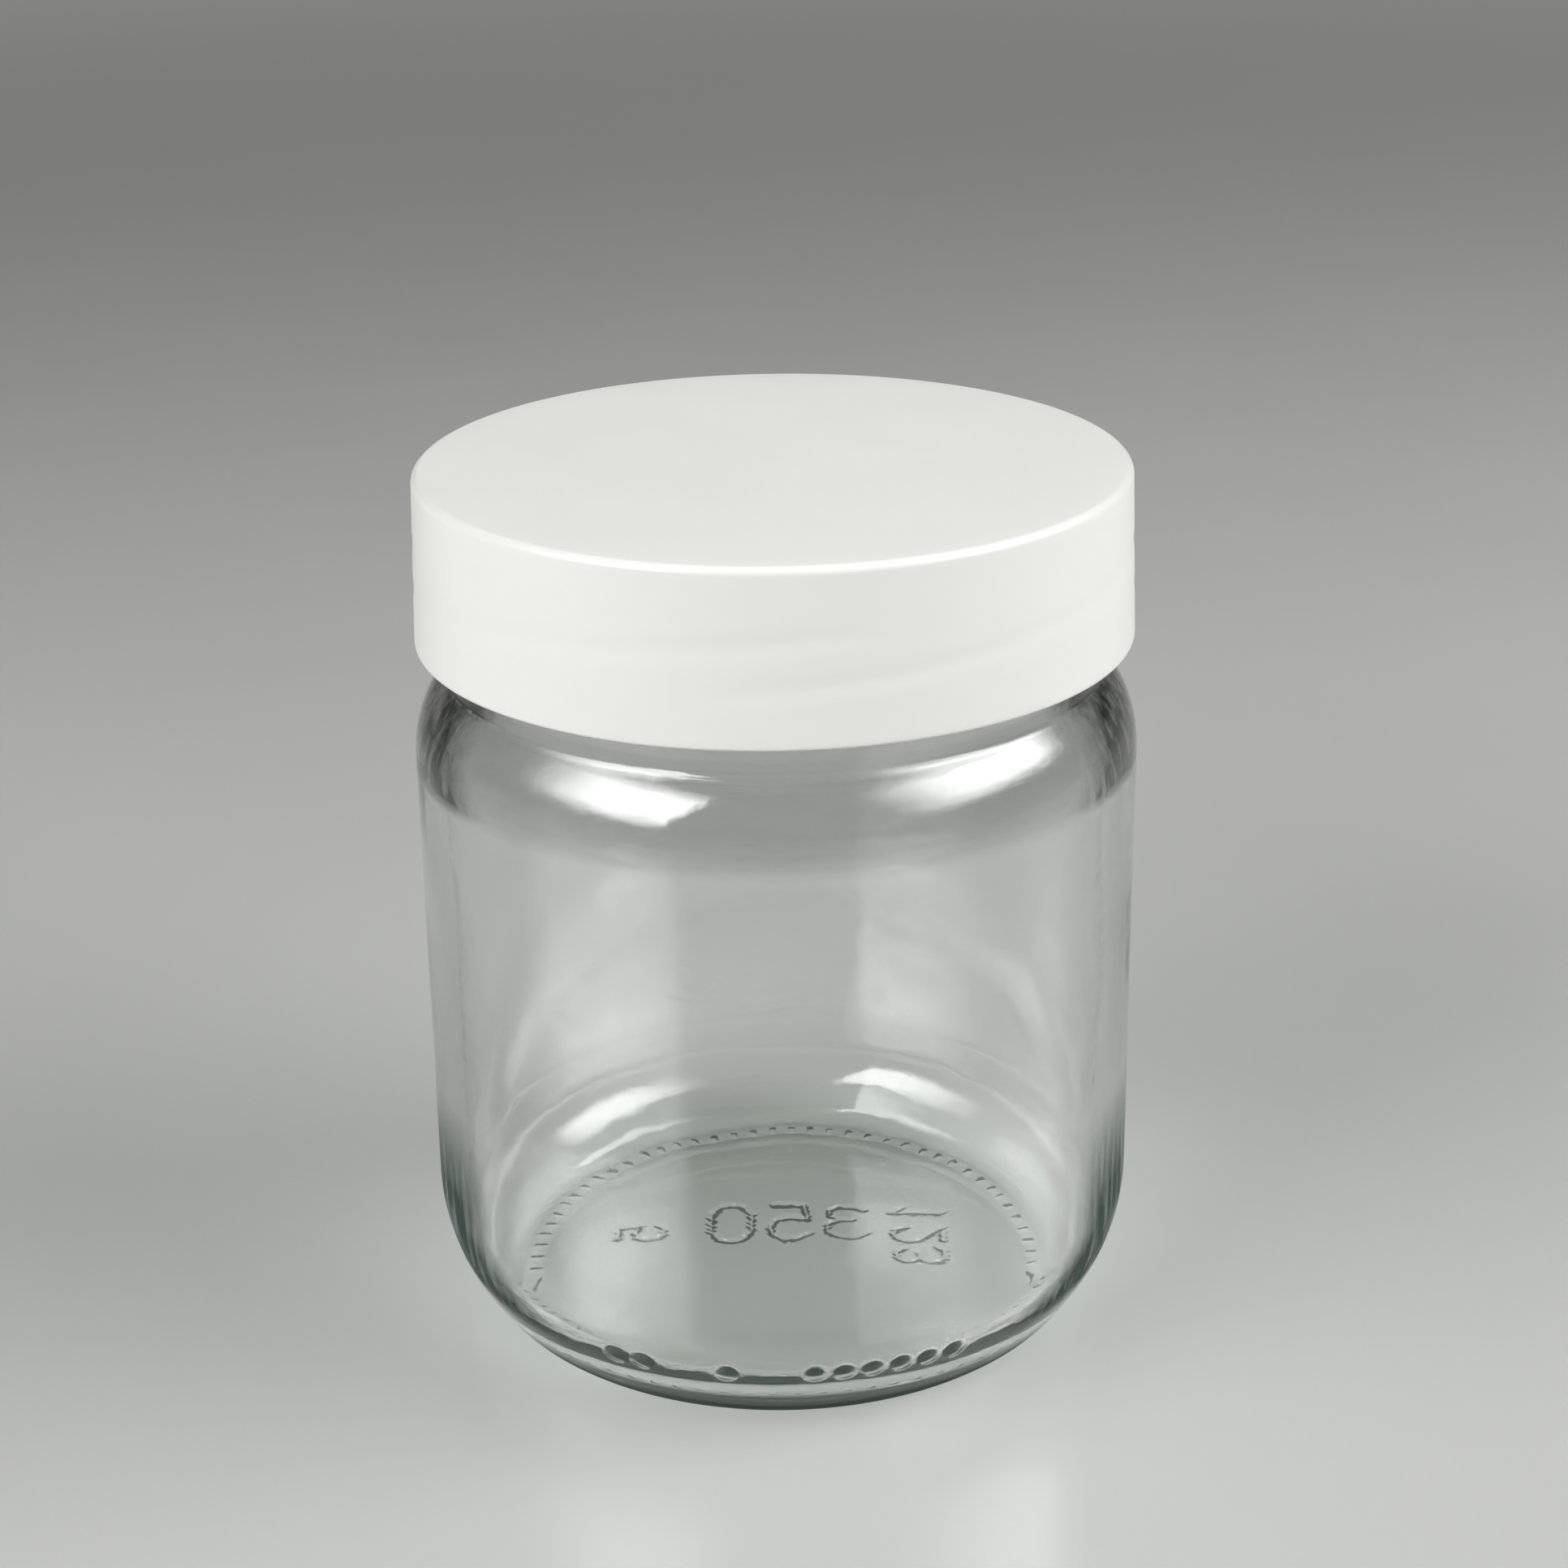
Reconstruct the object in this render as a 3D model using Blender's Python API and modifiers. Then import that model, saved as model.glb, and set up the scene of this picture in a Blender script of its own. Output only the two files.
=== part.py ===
"""Wide-mouth glass food jar with a screw-on plastic lid and its sealing wad.

The jar stands on its bearing ring at z = 0 with its axis on Z, and the lid is screwed
down. Everything is turned about that axis, so each piece is one half section, drawn in
the XZ plane and revolved. Sizes are in metres, written in millimetres.
"""

from math import acos, asin, atan2, ceil, cos, hypot, pi, radians, sin, sqrt, tan

import bpy

mm = 0.001

# Glass jar, outside
jar_height = 96.8 * mm
body_diameter = 81.2 * mm
shoulder_radius = 13.4 * mm
neck_inset = 3.9 * mm
neck_height = 19.5 * mm
neck_fillet = 1.2 * mm
heel_radius = 21.8 * mm
foot_inset = 8.5 * mm
foot_radius = 4.0 * mm
foot_width = 2.7 * mm
foot_inner_radius = 4.0 * mm
pushup_height = 1.2 * mm

# Glass jar, inside
wall = 3.4 * mm
neck_wall = 3.0 * mm
bore_fillet = 2.5 * mm
base_thickness = 2.0 * mm
inside_heel_radius = 9.0 * mm

# Glass jar, neck
lip_radius = 1.0 * mm
bead_rise = 1.2 * mm
bead_height = 3.2 * mm
bead_below_rim = 12.6 * mm

# Sealing wad: it lies on the jar's lip, under the lid's top
liner_thickness = 1.0 * mm
liner_side_clearance = 0.3 * mm

# Lid
lid_height = 19.0 * mm
lid_clearance = 0.6 * mm
lid_draft = radians(1.9)
lid_wall = 1.5 * mm
lid_top_thickness = 1.6 * mm
lid_edge_radius = 0.9 * mm
lid_rim_radius = 0.4 * mm
lid_corner_radius = 0.5 * mm
retainer_rise = 0.6 * mm
retainer_height = 1.0 * mm
retainer_drop = 0.4 * mm

# Gap that touching pieces keep
seat_gap = 0.3 * mm

# How finely round stretches are cut, and how near two points count as one
turn_steps = 88
wide_arc_step = radians(12)
small_arc_step = radians(30)
hollow_steps = 4
merge_distance = 0.001 * mm
sharp_angle = radians(40)

# Radii and heights that follow from the sizes above
body_r = body_diameter / 2
inside_r = body_r - wall
neck_r = body_r - neck_inset
bore_r = neck_r - neck_wall
foot_r = body_r - foot_inset
floor_z = pushup_height + base_thickness
lid_r = neck_r + bead_rise + lid_clearance + lid_wall
liner_bottom = jar_height + seat_gap
liner_top = liner_bottom + liner_thickness
lid_underside = liner_top + seat_gap
lid_top = lid_underside + lid_top_thickness
lid_rim = lid_top - lid_height


def arc(centre, radius, start, end, step):
    """Points of a round stretch between two angles, both ends included."""
    pieces = max(1, ceil(abs(end - start) / step))
    angles = [start + (end - start) * i / pieces for i in range(pieces + 1)]
    return [(centre[0] + radius * cos(a), centre[1] + radius * sin(a)) for a in angles]


def bulge(height, rise):
    """Radius and half the turn of the arc that stands out of a wall by its rise."""
    return (height**2 / 4 + rise**2) / (2 * rise), 2 * atan2(2 * rise, height)


def shoulder(radius, upright_r, fillet):
    """From the body's wall over the shoulder to an upright line, bottom to top.

    The shoulder is one arc, tangent to the wall. A fillet joins it to the upright of the
    neck or the bore, touching the arc from outside.
    """
    centre_r = body_r - shoulder_radius
    outer_turn = acos((neck_r - centre_r) / shoulder_radius)
    centre_z = jar_height - neck_height - shoulder_radius * sin(outer_turn)
    reach = radius + fillet
    fillet_r = upright_r + fillet
    fillet_z = centre_z + sqrt(reach**2 - (fillet_r - centre_r) ** 2)
    turn = atan2(fillet_z - centre_z, fillet_r - centre_r)
    return arc((centre_r, centre_z), radius, 0, turn, wide_arc_step) + arc(
        (fillet_r, fillet_z), fillet, turn + pi, pi, small_arc_step
    )


def lip():
    """The sealing lip: the bore's edge, the flat that seals, and the outer edge."""
    centre_z = jar_height - lip_radius
    inner = arc((bore_r + lip_radius, centre_z), lip_radius, pi, pi / 2, small_arc_step)
    outer = arc((neck_r - lip_radius, centre_z), lip_radius, pi / 2, 0, small_arc_step)
    return inner + outer


def bead():
    """The carrying bead round the neck, top to bottom: an arc that stands out of the wall."""
    radius, half_turn = bulge(bead_height, bead_rise)
    centre = (neck_r + bead_rise - radius, jar_height - bead_below_rim)
    return arc(centre, radius, half_turn, -half_turn, small_arc_step)


def heel_and_foot():
    """Outside of the heel down to the bearing ring's flat.

    The large heel arc is tangent to the wall. The smaller foot arc touches it from inside
    and ends level with the ground, where the flat of the bearing ring starts.
    """
    heel_r = body_r - heel_radius
    between = heel_radius - foot_radius
    heel_z = foot_radius + sqrt(between**2 - (foot_r - heel_r) ** 2)
    meeting = atan2(foot_radius - heel_z, foot_r - heel_r)
    heel = arc((heel_r, heel_z), heel_radius, 0, meeting, wide_arc_step)
    foot = arc((foot_r, foot_radius), foot_radius, meeting, -pi / 2, small_arc_step)
    return heel + foot


def push_up():
    """From the bearing ring's flat over its rounded inner edge to the hollow underside.

    The hollow is one shallow arc with its centre on the axis, and it touches the arc of the
    ring's inner edge from outside.
    """
    ring_r = foot_r - foot_width
    reach = (ring_r**2 + pushup_height**2) / (2 * pushup_height)
    hollow_radius = reach - foot_inner_radius
    turn = asin(ring_r / reach)
    edge = (ring_r, foot_inner_radius)
    centre = (0, pushup_height - hollow_radius)
    inner_edge = arc(edge, foot_inner_radius, -pi / 2, -pi / 2 - turn, small_arc_step)
    hollow = arc(centre, hollow_radius, pi / 2 - turn, pi / 2, turn / hollow_steps)
    return inner_edge + hollow


def jar_section():
    """Half section: from the floor's centre up the inside, over the lip, down the outside."""
    corner = (inside_r - inside_heel_radius, floor_z + inside_heel_radius)
    inside_heel = arc(corner, inside_heel_radius, -pi / 2, 0, wide_arc_step)
    inside_shoulder = shoulder(shoulder_radius - wall, bore_r, bore_fillet)
    outside_shoulder = shoulder(shoulder_radius, neck_r, neck_fillet)
    return (
        [(0, floor_z)]
        + inside_heel
        + inside_shoulder
        + lip()
        + bead()
        + outside_shoulder[::-1]
        + heel_and_foot()
        + push_up()
    )


def lid_outer_r(z):
    """Outer radius of the skirt at a height: it narrows upwards by the draft."""
    return lid_r - (z - lid_rim) * tan(lid_draft)


def lid_inner_r(z):
    """Inner radius of the skirt at a height, one wall inside its outer face."""
    return lid_outer_r(z) - lid_wall


def retainer():
    """The bead inside the skirt that keeps the wad in, bottom to top."""
    middle = liner_bottom - retainer_drop - retainer_height / 2
    radius, half_turn = bulge(retainer_height, retainer_rise)
    centre = (lid_inner_r(middle) - retainer_rise + radius, middle)
    return arc(centre, radius, pi + half_turn, pi - half_turn, small_arc_step)


def lid_section():
    """Half section: from the top's centre down the outside, round the rim, up the inside."""
    edge = (lid_outer_r(lid_top) - lid_edge_radius, lid_top - lid_edge_radius)
    rim_z = lid_rim + lid_rim_radius
    rim_outer = (lid_outer_r(rim_z) - lid_rim_radius, rim_z)
    rim_inner = (lid_inner_r(rim_z) + lid_rim_radius, rim_z)
    corner_z = lid_underside - lid_corner_radius
    corner = (lid_inner_r(corner_z) - lid_corner_radius, corner_z)
    return (
        [(0, lid_top)]
        + arc(edge, lid_edge_radius, pi / 2, 0, small_arc_step)
        + arc(rim_outer, lid_rim_radius, 0, -pi / 2, small_arc_step)
        + arc(rim_inner, lid_rim_radius, -pi / 2, -pi, small_arc_step)
        + retainer()
        + arc(corner, lid_corner_radius, 0, pi / 2, small_arc_step)
        + [(0, lid_underside)]
    )


def liner_section():
    """Half section of the wad: a plain die-cut disc."""
    edge_r = lid_inner_r(liner_top) - liner_side_clearance
    return [(0, liner_top), (edge_r, liner_top), (edge_r, liner_bottom), (0, liner_bottom)]


def without_repeats(section):
    """The section with points that fall on the one before them left out."""
    kept = [section[0]]
    for point in section[1:]:
        if hypot(point[0] - kept[-1][0], point[1] - kept[-1][1]) > merge_distance:
            kept.append(point)
    return kept


def material(name, colour, roughness, transmission, ior):
    """A Principled material with the piece's plain finish."""
    made = bpy.data.materials.new(name)
    made.use_nodes = True
    shader = made.node_tree.nodes["Principled BSDF"]
    shader.inputs["Base Color"].default_value = (*colour, 1)
    shader.inputs["Roughness"].default_value = roughness
    shader.inputs["Metallic"].default_value = 0
    shader.inputs["Transmission Weight"].default_value = transmission
    shader.inputs["IOR"].default_value = ior
    made.diffuse_color = (*colour, 1)
    return made


def turned(name, section, finish, parts):
    """One piece: its half section as a line of edges, revolved about Z by a Screw modifier.

    The revolved mesh is kept as the piece's own, so that its corners can be marked sharp.
    """
    points = [(r, 0, z) for r, z in without_repeats(section)]
    edges = [(i, i + 1) for i in range(len(points) - 1)]
    outline = bpy.data.meshes.new(f"{name}_section")
    outline.from_pydata(points, edges, [])
    guide = bpy.data.objects.new(outline.name, outline)
    parts.objects.link(guide)
    screw = guide.modifiers.new("Turn", "SCREW")
    screw.axis = "Z"
    screw.angle = 2 * pi
    screw.steps = turn_steps
    screw.render_steps = turn_steps
    screw.use_merge_vertices = True
    screw.merge_threshold = merge_distance
    evaluated = guide.evaluated_get(bpy.context.evaluated_depsgraph_get())
    mesh = bpy.data.meshes.new_from_object(evaluated)
    bpy.data.objects.remove(guide)
    bpy.data.meshes.remove(outline)
    mesh.name = name
    mesh.materials.append(finish)
    mesh.shade_smooth()
    mesh.set_sharp_from_angle(angle=sharp_angle)
    parts.objects.link(bpy.data.objects.new(name, mesh))


def clear_scene():
    """Removes whatever the file opened with."""
    for thing in list(bpy.data.objects):
        bpy.data.objects.remove(thing, do_unlink=True)


def build():
    """Makes the three pieces in their own collection."""
    clear_scene()
    parts = bpy.data.collections.new("glass_jar_with_lid")
    bpy.context.scene.collection.children.link(parts)
    glass = material("clear glass", (0.86, 0.9, 0.88), 0.02, 1.0, 1.52)
    white_plastic = material("white polypropylene", (0.83, 0.84, 0.82), 0.35, 0.0, 1.49)
    foam = material("foamed polyethylene", (0.8, 0.8, 0.78), 0.6, 0.0, 1.5)
    turned("glass_jar", jar_section(), glass, parts)
    turned("seal_liner", liner_section(), foam, parts)
    turned("lid", lid_section(), white_plastic, parts)


if __name__ == "__main__":
    build()
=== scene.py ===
"""Wide-mouth glass food jar with a white screw lid: how its pieces look.

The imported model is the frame. It has three solids on three bodies: the glass jar, the sealing wad
and the lid. Each is replaced here by a finer surface in the same place. A piece is a half section
carried round the Z axis on a grid, with the relief that its mould left on it.
Sizes are in millimetres and angles in degrees until a mesh, a lamp or the camera is made.
"""

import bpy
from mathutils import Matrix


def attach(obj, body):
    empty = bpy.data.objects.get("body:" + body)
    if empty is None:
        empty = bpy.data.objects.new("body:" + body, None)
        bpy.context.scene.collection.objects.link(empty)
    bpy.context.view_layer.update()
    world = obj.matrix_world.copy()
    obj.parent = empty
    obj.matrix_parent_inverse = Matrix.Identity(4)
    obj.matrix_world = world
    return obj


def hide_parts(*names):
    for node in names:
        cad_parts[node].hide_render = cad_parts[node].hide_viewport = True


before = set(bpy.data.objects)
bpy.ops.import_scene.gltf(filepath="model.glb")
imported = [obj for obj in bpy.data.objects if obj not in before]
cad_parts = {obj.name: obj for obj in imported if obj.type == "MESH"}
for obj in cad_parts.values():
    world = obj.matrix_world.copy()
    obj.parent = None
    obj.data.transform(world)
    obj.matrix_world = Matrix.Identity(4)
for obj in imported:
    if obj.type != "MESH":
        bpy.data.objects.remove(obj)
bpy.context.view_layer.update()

import logging
import math
from collections.abc import Callable, Mapping, Sequence
from dataclasses import dataclass
from enum import Enum

import bpy
import numpy as np
from mathutils import Matrix, Vector

log = logging.getLogger("glass_jar")

MM = 0.001
OUTER_SKIN = "outer_skin"
# Two points of a section closer than this count as one
SAME_POINT = 1e-4
# How many times a noise repeats at half the size over its slowest lumps
PLAIN_DETAIL = 2.0
FINE_DETAIL = 3.0
# Numbers of a Mix node's sockets: its share, its two values, its two colours and what comes out
SHARE, VALUE_A, VALUE_B, COLOUR_A, COLOUR_B = 0, 2, 3, 6, 7
MIXED_COLOUR = 2

Point = Sequence[float] | np.ndarray
Relief = Callable[[np.ndarray], np.ndarray]
Socket = bpy.types.NodeSocket
Tree = bpy.types.NodeTree


class Body(Enum):
    """The bodies that the pieces ride on."""

    JAR = "jar"
    LINER = "liner"
    LID = "lid"


class Slot(Enum):
    """The record's material slots."""

    GLASS = "clear_glass"
    LINER = "foam_liner"
    PLASTIC = "white_plastic"


class Side(Enum):
    """Which side of the camera a soft box stands on, as a sign along X."""

    LEFT = -1
    RIGHT = 1


def linear(hex_colour: str) -> tuple[float, float, float, float]:
    """Turns an sRGB hex colour to the linear colour that a shader takes, by the sRGB curve.

    Args:
        hex_colour: six hex digits, such as "E6E6E1".

    Returns:
        Red, green and blue in linear light, and an alpha of 1.
    """
    shares = [int(hex_colour[i : i + 2], 16) / 255 for i in (0, 2, 4)]
    values = [s / 12.92 if s <= 0.04045 else ((s + 0.055) / 1.055) ** 2.4 for s in shares]
    return (*values, 1.0)


def metres(*lengths: float) -> tuple[float, ...]:
    """Millimetres as metres."""
    return tuple(length * MM for length in lengths)


def smooth(share: np.ndarray) -> np.ndarray:
    """The cubic ease 3t^2 - 2t^3, with t held between 0 and 1."""
    t = np.clip(share, 0, 1)
    return t * t * (3 - 2 * t)


def arc(centre: Point, radius: float, start: float, end: float, step: float) -> np.ndarray:
    """Points on a round stretch of a half section.

    A point is centre + radius * (cos a, sin a), with a going evenly from start to end.

    Args:
        centre: radius and height of the arc's centre.
        radius: the arc's own radius.
        start: first angle in degrees, from the outward direction towards up.
        end: last angle in degrees.
        step: longest distance between two points.

    Returns:
        An array of radius and height, one row for each point.
    """
    pieces = max(2, math.ceil(abs(math.radians(end - start)) * radius / step))
    angles = np.radians(np.linspace(start, end, pieces + 1))
    return np.stack([centre[0] + radius * np.cos(angles), centre[1] + radius * np.sin(angles)], 1)


def straight(start: Point, end: Point, step: float) -> np.ndarray:
    """Evenly spaced points on a straight stretch of a half section, no more than step apart."""
    pieces = max(1, math.ceil(math.dist(start, end) / step))
    return np.linspace(start, end, pieces + 1)


def joined(*stretches: np.ndarray) -> np.ndarray:
    """Stretches of a half section as one path, without the points that fall on the one before.

    Args:
        stretches: arrays of radius and height, in order along the section.

    Returns:
        One such array.
    """
    path = np.concatenate(stretches)
    apart = np.linalg.norm(np.diff(path, axis=0), axis=1) > SAME_POINT
    return path[np.concatenate([[True], apart])]


def tangent_meeting(radius: float, centre_r: float, upright_r: float, fillet: float) -> float:
    """Angle at which a fillet that stands against an upright line touches an arc from outside."""
    return math.degrees(math.acos((upright_r + fillet - centre_r) / (radius + fillet)))


def bulge(height: float, rise: float) -> tuple[float, float]:
    """Radius and half the turn, in degrees, of the arc that stands out of a wall by its rise."""
    radius = (height**2 / 4 + rise**2) / (2 * rise)
    return radius, 2 * math.degrees(math.atan2(2 * rise, height))


@dataclass(frozen=True)
class Band:
    """A stretch of a half section with one count of points round the axis.

    Attributes:
        path: radius and height of its points, in order along the section.
        count: points on each of its rings.
        relief: gives the height of the surface over the plain section at each point's place.
        outer: 1 on the piece's outer side and 0 on its inner side.
    """

    path: np.ndarray
    count: int
    relief: Relief | None = None
    outer: float = 1.0


def ring_faces(low: int, high: int, low_count: int, high_count: int) -> list[np.ndarray]:
    """Faces between two neighbouring rings, of equal counts or one with twice the other's.

    With equal counts, face j joins points j and j + 1 of both rings. With twice as many on one
    ring, each edge of the sparse ring fans out to the three points that face it.

    Args:
        low: index of the first ring's first vertex.
        high: index of the second ring's first vertex.
        low_count: points on the first ring.
        high_count: points on the second ring.

    Returns:
        Arrays of vertex indices, with three or four columns.
    """
    sparse = min(low_count, high_count)
    j = np.arange(sparse)
    after = (j + 1) % sparse
    if low_count == high_count:
        return [np.stack([low + j, low + after, high + after, high + j], 1)]
    mid, far = 2 * j + 1, (2 * j + 2) % (2 * sparse)
    if low_count < high_count:
        corners = [
            (low + j, high + mid, high + 2 * j),
            (low + j, low + after, high + mid),
            (low + after, high + far, high + mid),
        ]
    else:
        corners = [
            (high + j, low + 2 * j, low + mid),
            (high + j, low + mid, high + after),
            (high + after, low + mid, low + far),
        ]
    return [np.stack(three, 1) for three in corners]


def band_faces(first: int, rings: int, count: int) -> np.ndarray:
    """Faces of a run of rings with the same count: face j joins points j and j + 1 of two rings.

    Args:
        first: index of the first ring's first vertex.
        rings: number of rings.
        count: points on each ring.

    Returns:
        An array of vertex indices, with four columns.
    """
    j = np.arange(count)
    low = first + np.arange(rings - 1)[:, None] * count
    here, after = low + j, low + (j + 1) % count
    return np.stack([here, after, after + count, here + count], -1).reshape(-1, 4)


def band_points(band: Band, normal: np.ndarray) -> np.ndarray:
    """Places of a band's points: (r cos a, r sin a, z) plus the relief along the section's normal.

    Args:
        band: the band.
        normal: the section's normal at each point of the band's path.

    Returns:
        An array of places, one row for each point.
    """
    angle = 2 * np.pi * np.arange(band.count) / band.count
    turn = np.stack([np.cos(angle), np.sin(angle)], 1)
    place = np.empty((len(band.path), band.count, 3))
    place[..., :2] = band.path[:, None, :1] * turn
    place[..., 2] = band.path[:, None, 1]
    if band.relief is not None:
        height = band.relief(place)
        place[..., :2] += (height * normal[:, :1])[..., None] * turn
        place[..., 2] += height * normal[:, 1:]
    return place.reshape(-1, 3)


def turned_mesh(name: str, bands: Sequence[Band], start_z: float, end_z: float) -> bpy.types.Mesh:
    """Carries a half section round Z and closes it at its two poles.

    The section's normal is its tangent turned a quarter clockwise, so that a section that runs up
    its outer side and down its inner side gives outward faces.

    Args:
        name: the mesh's name.
        bands: the section in order, from near the first pole to near the last.
        start_z: height of the first pole, on the axis.
        end_z: height of the last pole.

    Returns:
        The closed mesh in metres, shaded smooth.
    """
    path = np.concatenate([[[0, start_z]], *[band.path for band in bands], [[0, end_z]]])
    tangent = path[2:] - path[:-2]
    normal = np.stack([tangent[:, 1], -tangent[:, 0]], 1)
    normal /= np.linalg.norm(normal, axis=1, keepdims=True)
    rings = [len(band.path) for band in bands]
    normals = np.split(normal, np.cumsum(rings)[:-1])
    places = [band_points(band, part) for band, part in zip(bands, normals)]
    points = np.concatenate([[[0, 0, start_z]], *places, [[0, 0, end_z]]])
    skins = [np.full(len(part), band.outer) for band, part in zip(bands, places)]
    skin = np.concatenate([[bands[0].outer], *skins, [bands[-1].outer]])
    firsts = np.cumsum([1] + [len(part) for part in places])
    faces = [band_faces(first, n, band.count) for first, n, band in zip(firsts, rings, bands)]
    for first, band, after in zip(firsts[1:], bands, bands[1:]):
        faces += ring_faces(first - band.count, first, band.count, after.count)
    j = np.arange(bands[0].count)
    faces.append(np.stack([0 * j, 1 + (j + 1) % len(j), 1 + j], 1))
    j = np.arange(bands[-1].count)
    last, pole = firsts[-1] - len(j), firsts[-1]
    faces.append(np.stack([0 * j + pole, last + j, last + (j + 1) % len(j)], 1))
    mesh = bpy.data.meshes.new(name)
    mesh.from_pydata((points * MM).tolist(), [], [face for part in faces for face in part.tolist()])
    mesh.attributes.new(OUTER_SKIN, "FLOAT", "POINT").data.foreach_set("value", skin)
    mesh.shade_smooth()
    mesh.update()
    return mesh


def radius_of(place: np.ndarray) -> np.ndarray:
    """Distance of each point from the Z axis."""
    return np.hypot(place[..., 0], place[..., 1])


def azimuth_of(place: np.ndarray) -> np.ndarray:
    """Angle round Z of each point, in degrees from +X towards +Y."""
    return np.degrees(np.arctan2(place[..., 1], place[..., 0]))


# Strokes of plain single-line digits, as shares of the digit's height: a share along the writing
# and a share up the digit
DIGIT_STROKE_SHARES: dict[str, list[list[tuple[float, float]]]] = {
    "0": [[(0.0, 0.25), (0.0, 0.75), (0.13, 0.95), (0.3, 1.0), (0.47, 0.95), (0.6, 0.75),
           (0.6, 0.25), (0.47, 0.05), (0.3, 0.0), (0.13, 0.05), (0.0, 0.25)]],
    "1": [[(0.12, 0.78), (0.34, 1.0), (0.34, 0.0)]],
    "2": [[(0.0, 0.76), (0.12, 0.95), (0.3, 1.0), (0.48, 0.95), (0.6, 0.76), (0.52, 0.5),
           (0.0, 0.0), (0.6, 0.0)]],
    "3": [[(0.0, 0.86), (0.14, 0.98), (0.4, 1.0), (0.56, 0.88), (0.56, 0.66), (0.4, 0.54),
           (0.2, 0.54)],
          [(0.4, 0.54), (0.6, 0.4), (0.6, 0.15), (0.44, 0.02), (0.16, 0.0), (0.0, 0.14)]],
    "5": [[(0.56, 1.0), (0.08, 1.0), (0.04, 0.56), (0.3, 0.64), (0.5, 0.57), (0.6, 0.36),
           (0.56, 0.14), (0.4, 0.01), (0.16, 0.0), (0.0, 0.12)]],
}  # fmt: skip
DIGIT_WIDTH_SHARE = 0.6
DIGIT_GAP_SHARE = 0.28


@dataclass(frozen=True)
class MouldNumber:
    """A plain number that stands out of the underside, to be read from below.

    Attributes:
        text: its digits.
        centre: place of its middle in X and Y.
        height: height of a digit.
        turn: how far its writing direction is turned from -X, in degrees.
        rise: how far a stroke's crest stands out.
        flank: distance from the crest to the stroke's foot.
        wobble: how unevenly the foot runs.
        wobble_pace: how fast that changes along X and Y, in radians for each millimetre.
        wobble_start: its phases at the axis.
    """

    text: str
    centre: tuple[float, float]
    height: float
    turn: float = 0.0
    rise: float = 0.3
    flank: float = 0.56
    wobble: float = 0.16
    wobble_pace: tuple[float, float] = (4.1, 5.3)
    wobble_start: tuple[float, float] = (0.7, 2.0)

    def strokes(self) -> np.ndarray:
        """Both ends of every straight stroke in X and Y.

        Returns:
            An array of shape (strokes, 2, 2).
        """
        pitch = DIGIT_WIDTH_SHARE + DIGIT_GAP_SHARE
        width = pitch * len(self.text) - DIGIT_GAP_SHARE
        ends = [
            ((a[0] + pitch * k, a[1]), (b[0] + pitch * k, b[1]))
            for k, digit in enumerate(self.text)
            for line in DIGIT_STROKE_SHARES[digit]
            for a, b in zip(line, line[1:])
        ]
        flat = (np.array(ends) - (width / 2, 0.5)) * self.height
        along = math.radians(180 + self.turn)
        writing = np.array([math.cos(along), math.sin(along)])
        up = np.array([writing[1], -writing[0]])
        return np.array(self.centre) + flat[..., :1] * writing + flat[..., 1:] * up

    def __call__(self, place: np.ndarray) -> np.ndarray:
        """Height of the number over the plain underside.

        It is rise * (1 - (d / foot)^2)^2, with d the distance to the nearest stroke's middle line.
        The foot lies at flank + wobble * sin(px + s) * sin(qy + t).

        Args:
            place: places of the points, with X, Y and Z last.

        Returns:
            The height at each point.
        """
        ends = self.strokes()
        start, run = ends[:, 0], ends[:, 1] - ends[:, 0]
        offset = place[..., None, :2] - start
        share = np.clip((offset * run).sum(-1) / (run * run).sum(-1), 0, 1)
        distance = np.linalg.norm(offset - share[..., None] * run, axis=-1).min(-1)
        uneven = np.sin(place[..., :2] * self.wobble_pace + self.wobble_start).prod(-1)
        away = distance / (self.flank + self.wobble * uneven)
        return self.rise * np.clip(1 - away**2, 0, None) ** 2


@dataclass(frozen=True)
class BearingTicks:
    """The ring of short radial ticks cut into the ring that the jar stands on.

    Attributes:
        count: ticks round the ring.
        inner: radius where a tick starts.
        outer: radius where it ends.
        width: width of a tick across its bottom.
        depth: depth of a tick.
        flank: width of a tick's slopes.
        lift: how far the ring's middle is worn off the table, too little to see by itself.
        run_out: width over which the lift runs out on both sides.
    """

    count: int = 72
    inner: float = 29.6
    outer: float = 30.7
    width: float = 0.1
    depth: float = 0.2
    flank: float = 0.32
    lift: float = 0.05
    run_out: float = 9.0

    def __call__(self, place: np.ndarray) -> np.ndarray:
        """Minus the lift, and minus the depth on the ticks.

        The ticks lie half a pitch off +X. A point's distance to the nearest tick is the larger of
        its distance along the ring and its distance past either end, and the surface eases out of
        the tick over the flank.

        Args:
            place: places of the points, with X, Y and Z last.

        Returns:
            The height at each point.
        """
        radius = radius_of(place)
        pitch = 360 / self.count
        off = np.abs(azimuth_of(place) % pitch - pitch / 2)
        beside = np.radians(off) * radius - self.width / 2
        beyond = np.maximum(self.inner - radius, radius - self.outer)
        tick = 1 - smooth(np.maximum(beside, beyond) / self.flank)
        ring = smooth((radius - self.inner) / self.run_out + 1)
        ring *= smooth((self.outer - radius) / self.run_out + 1)
        return -self.depth * tick - self.lift * ring


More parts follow.
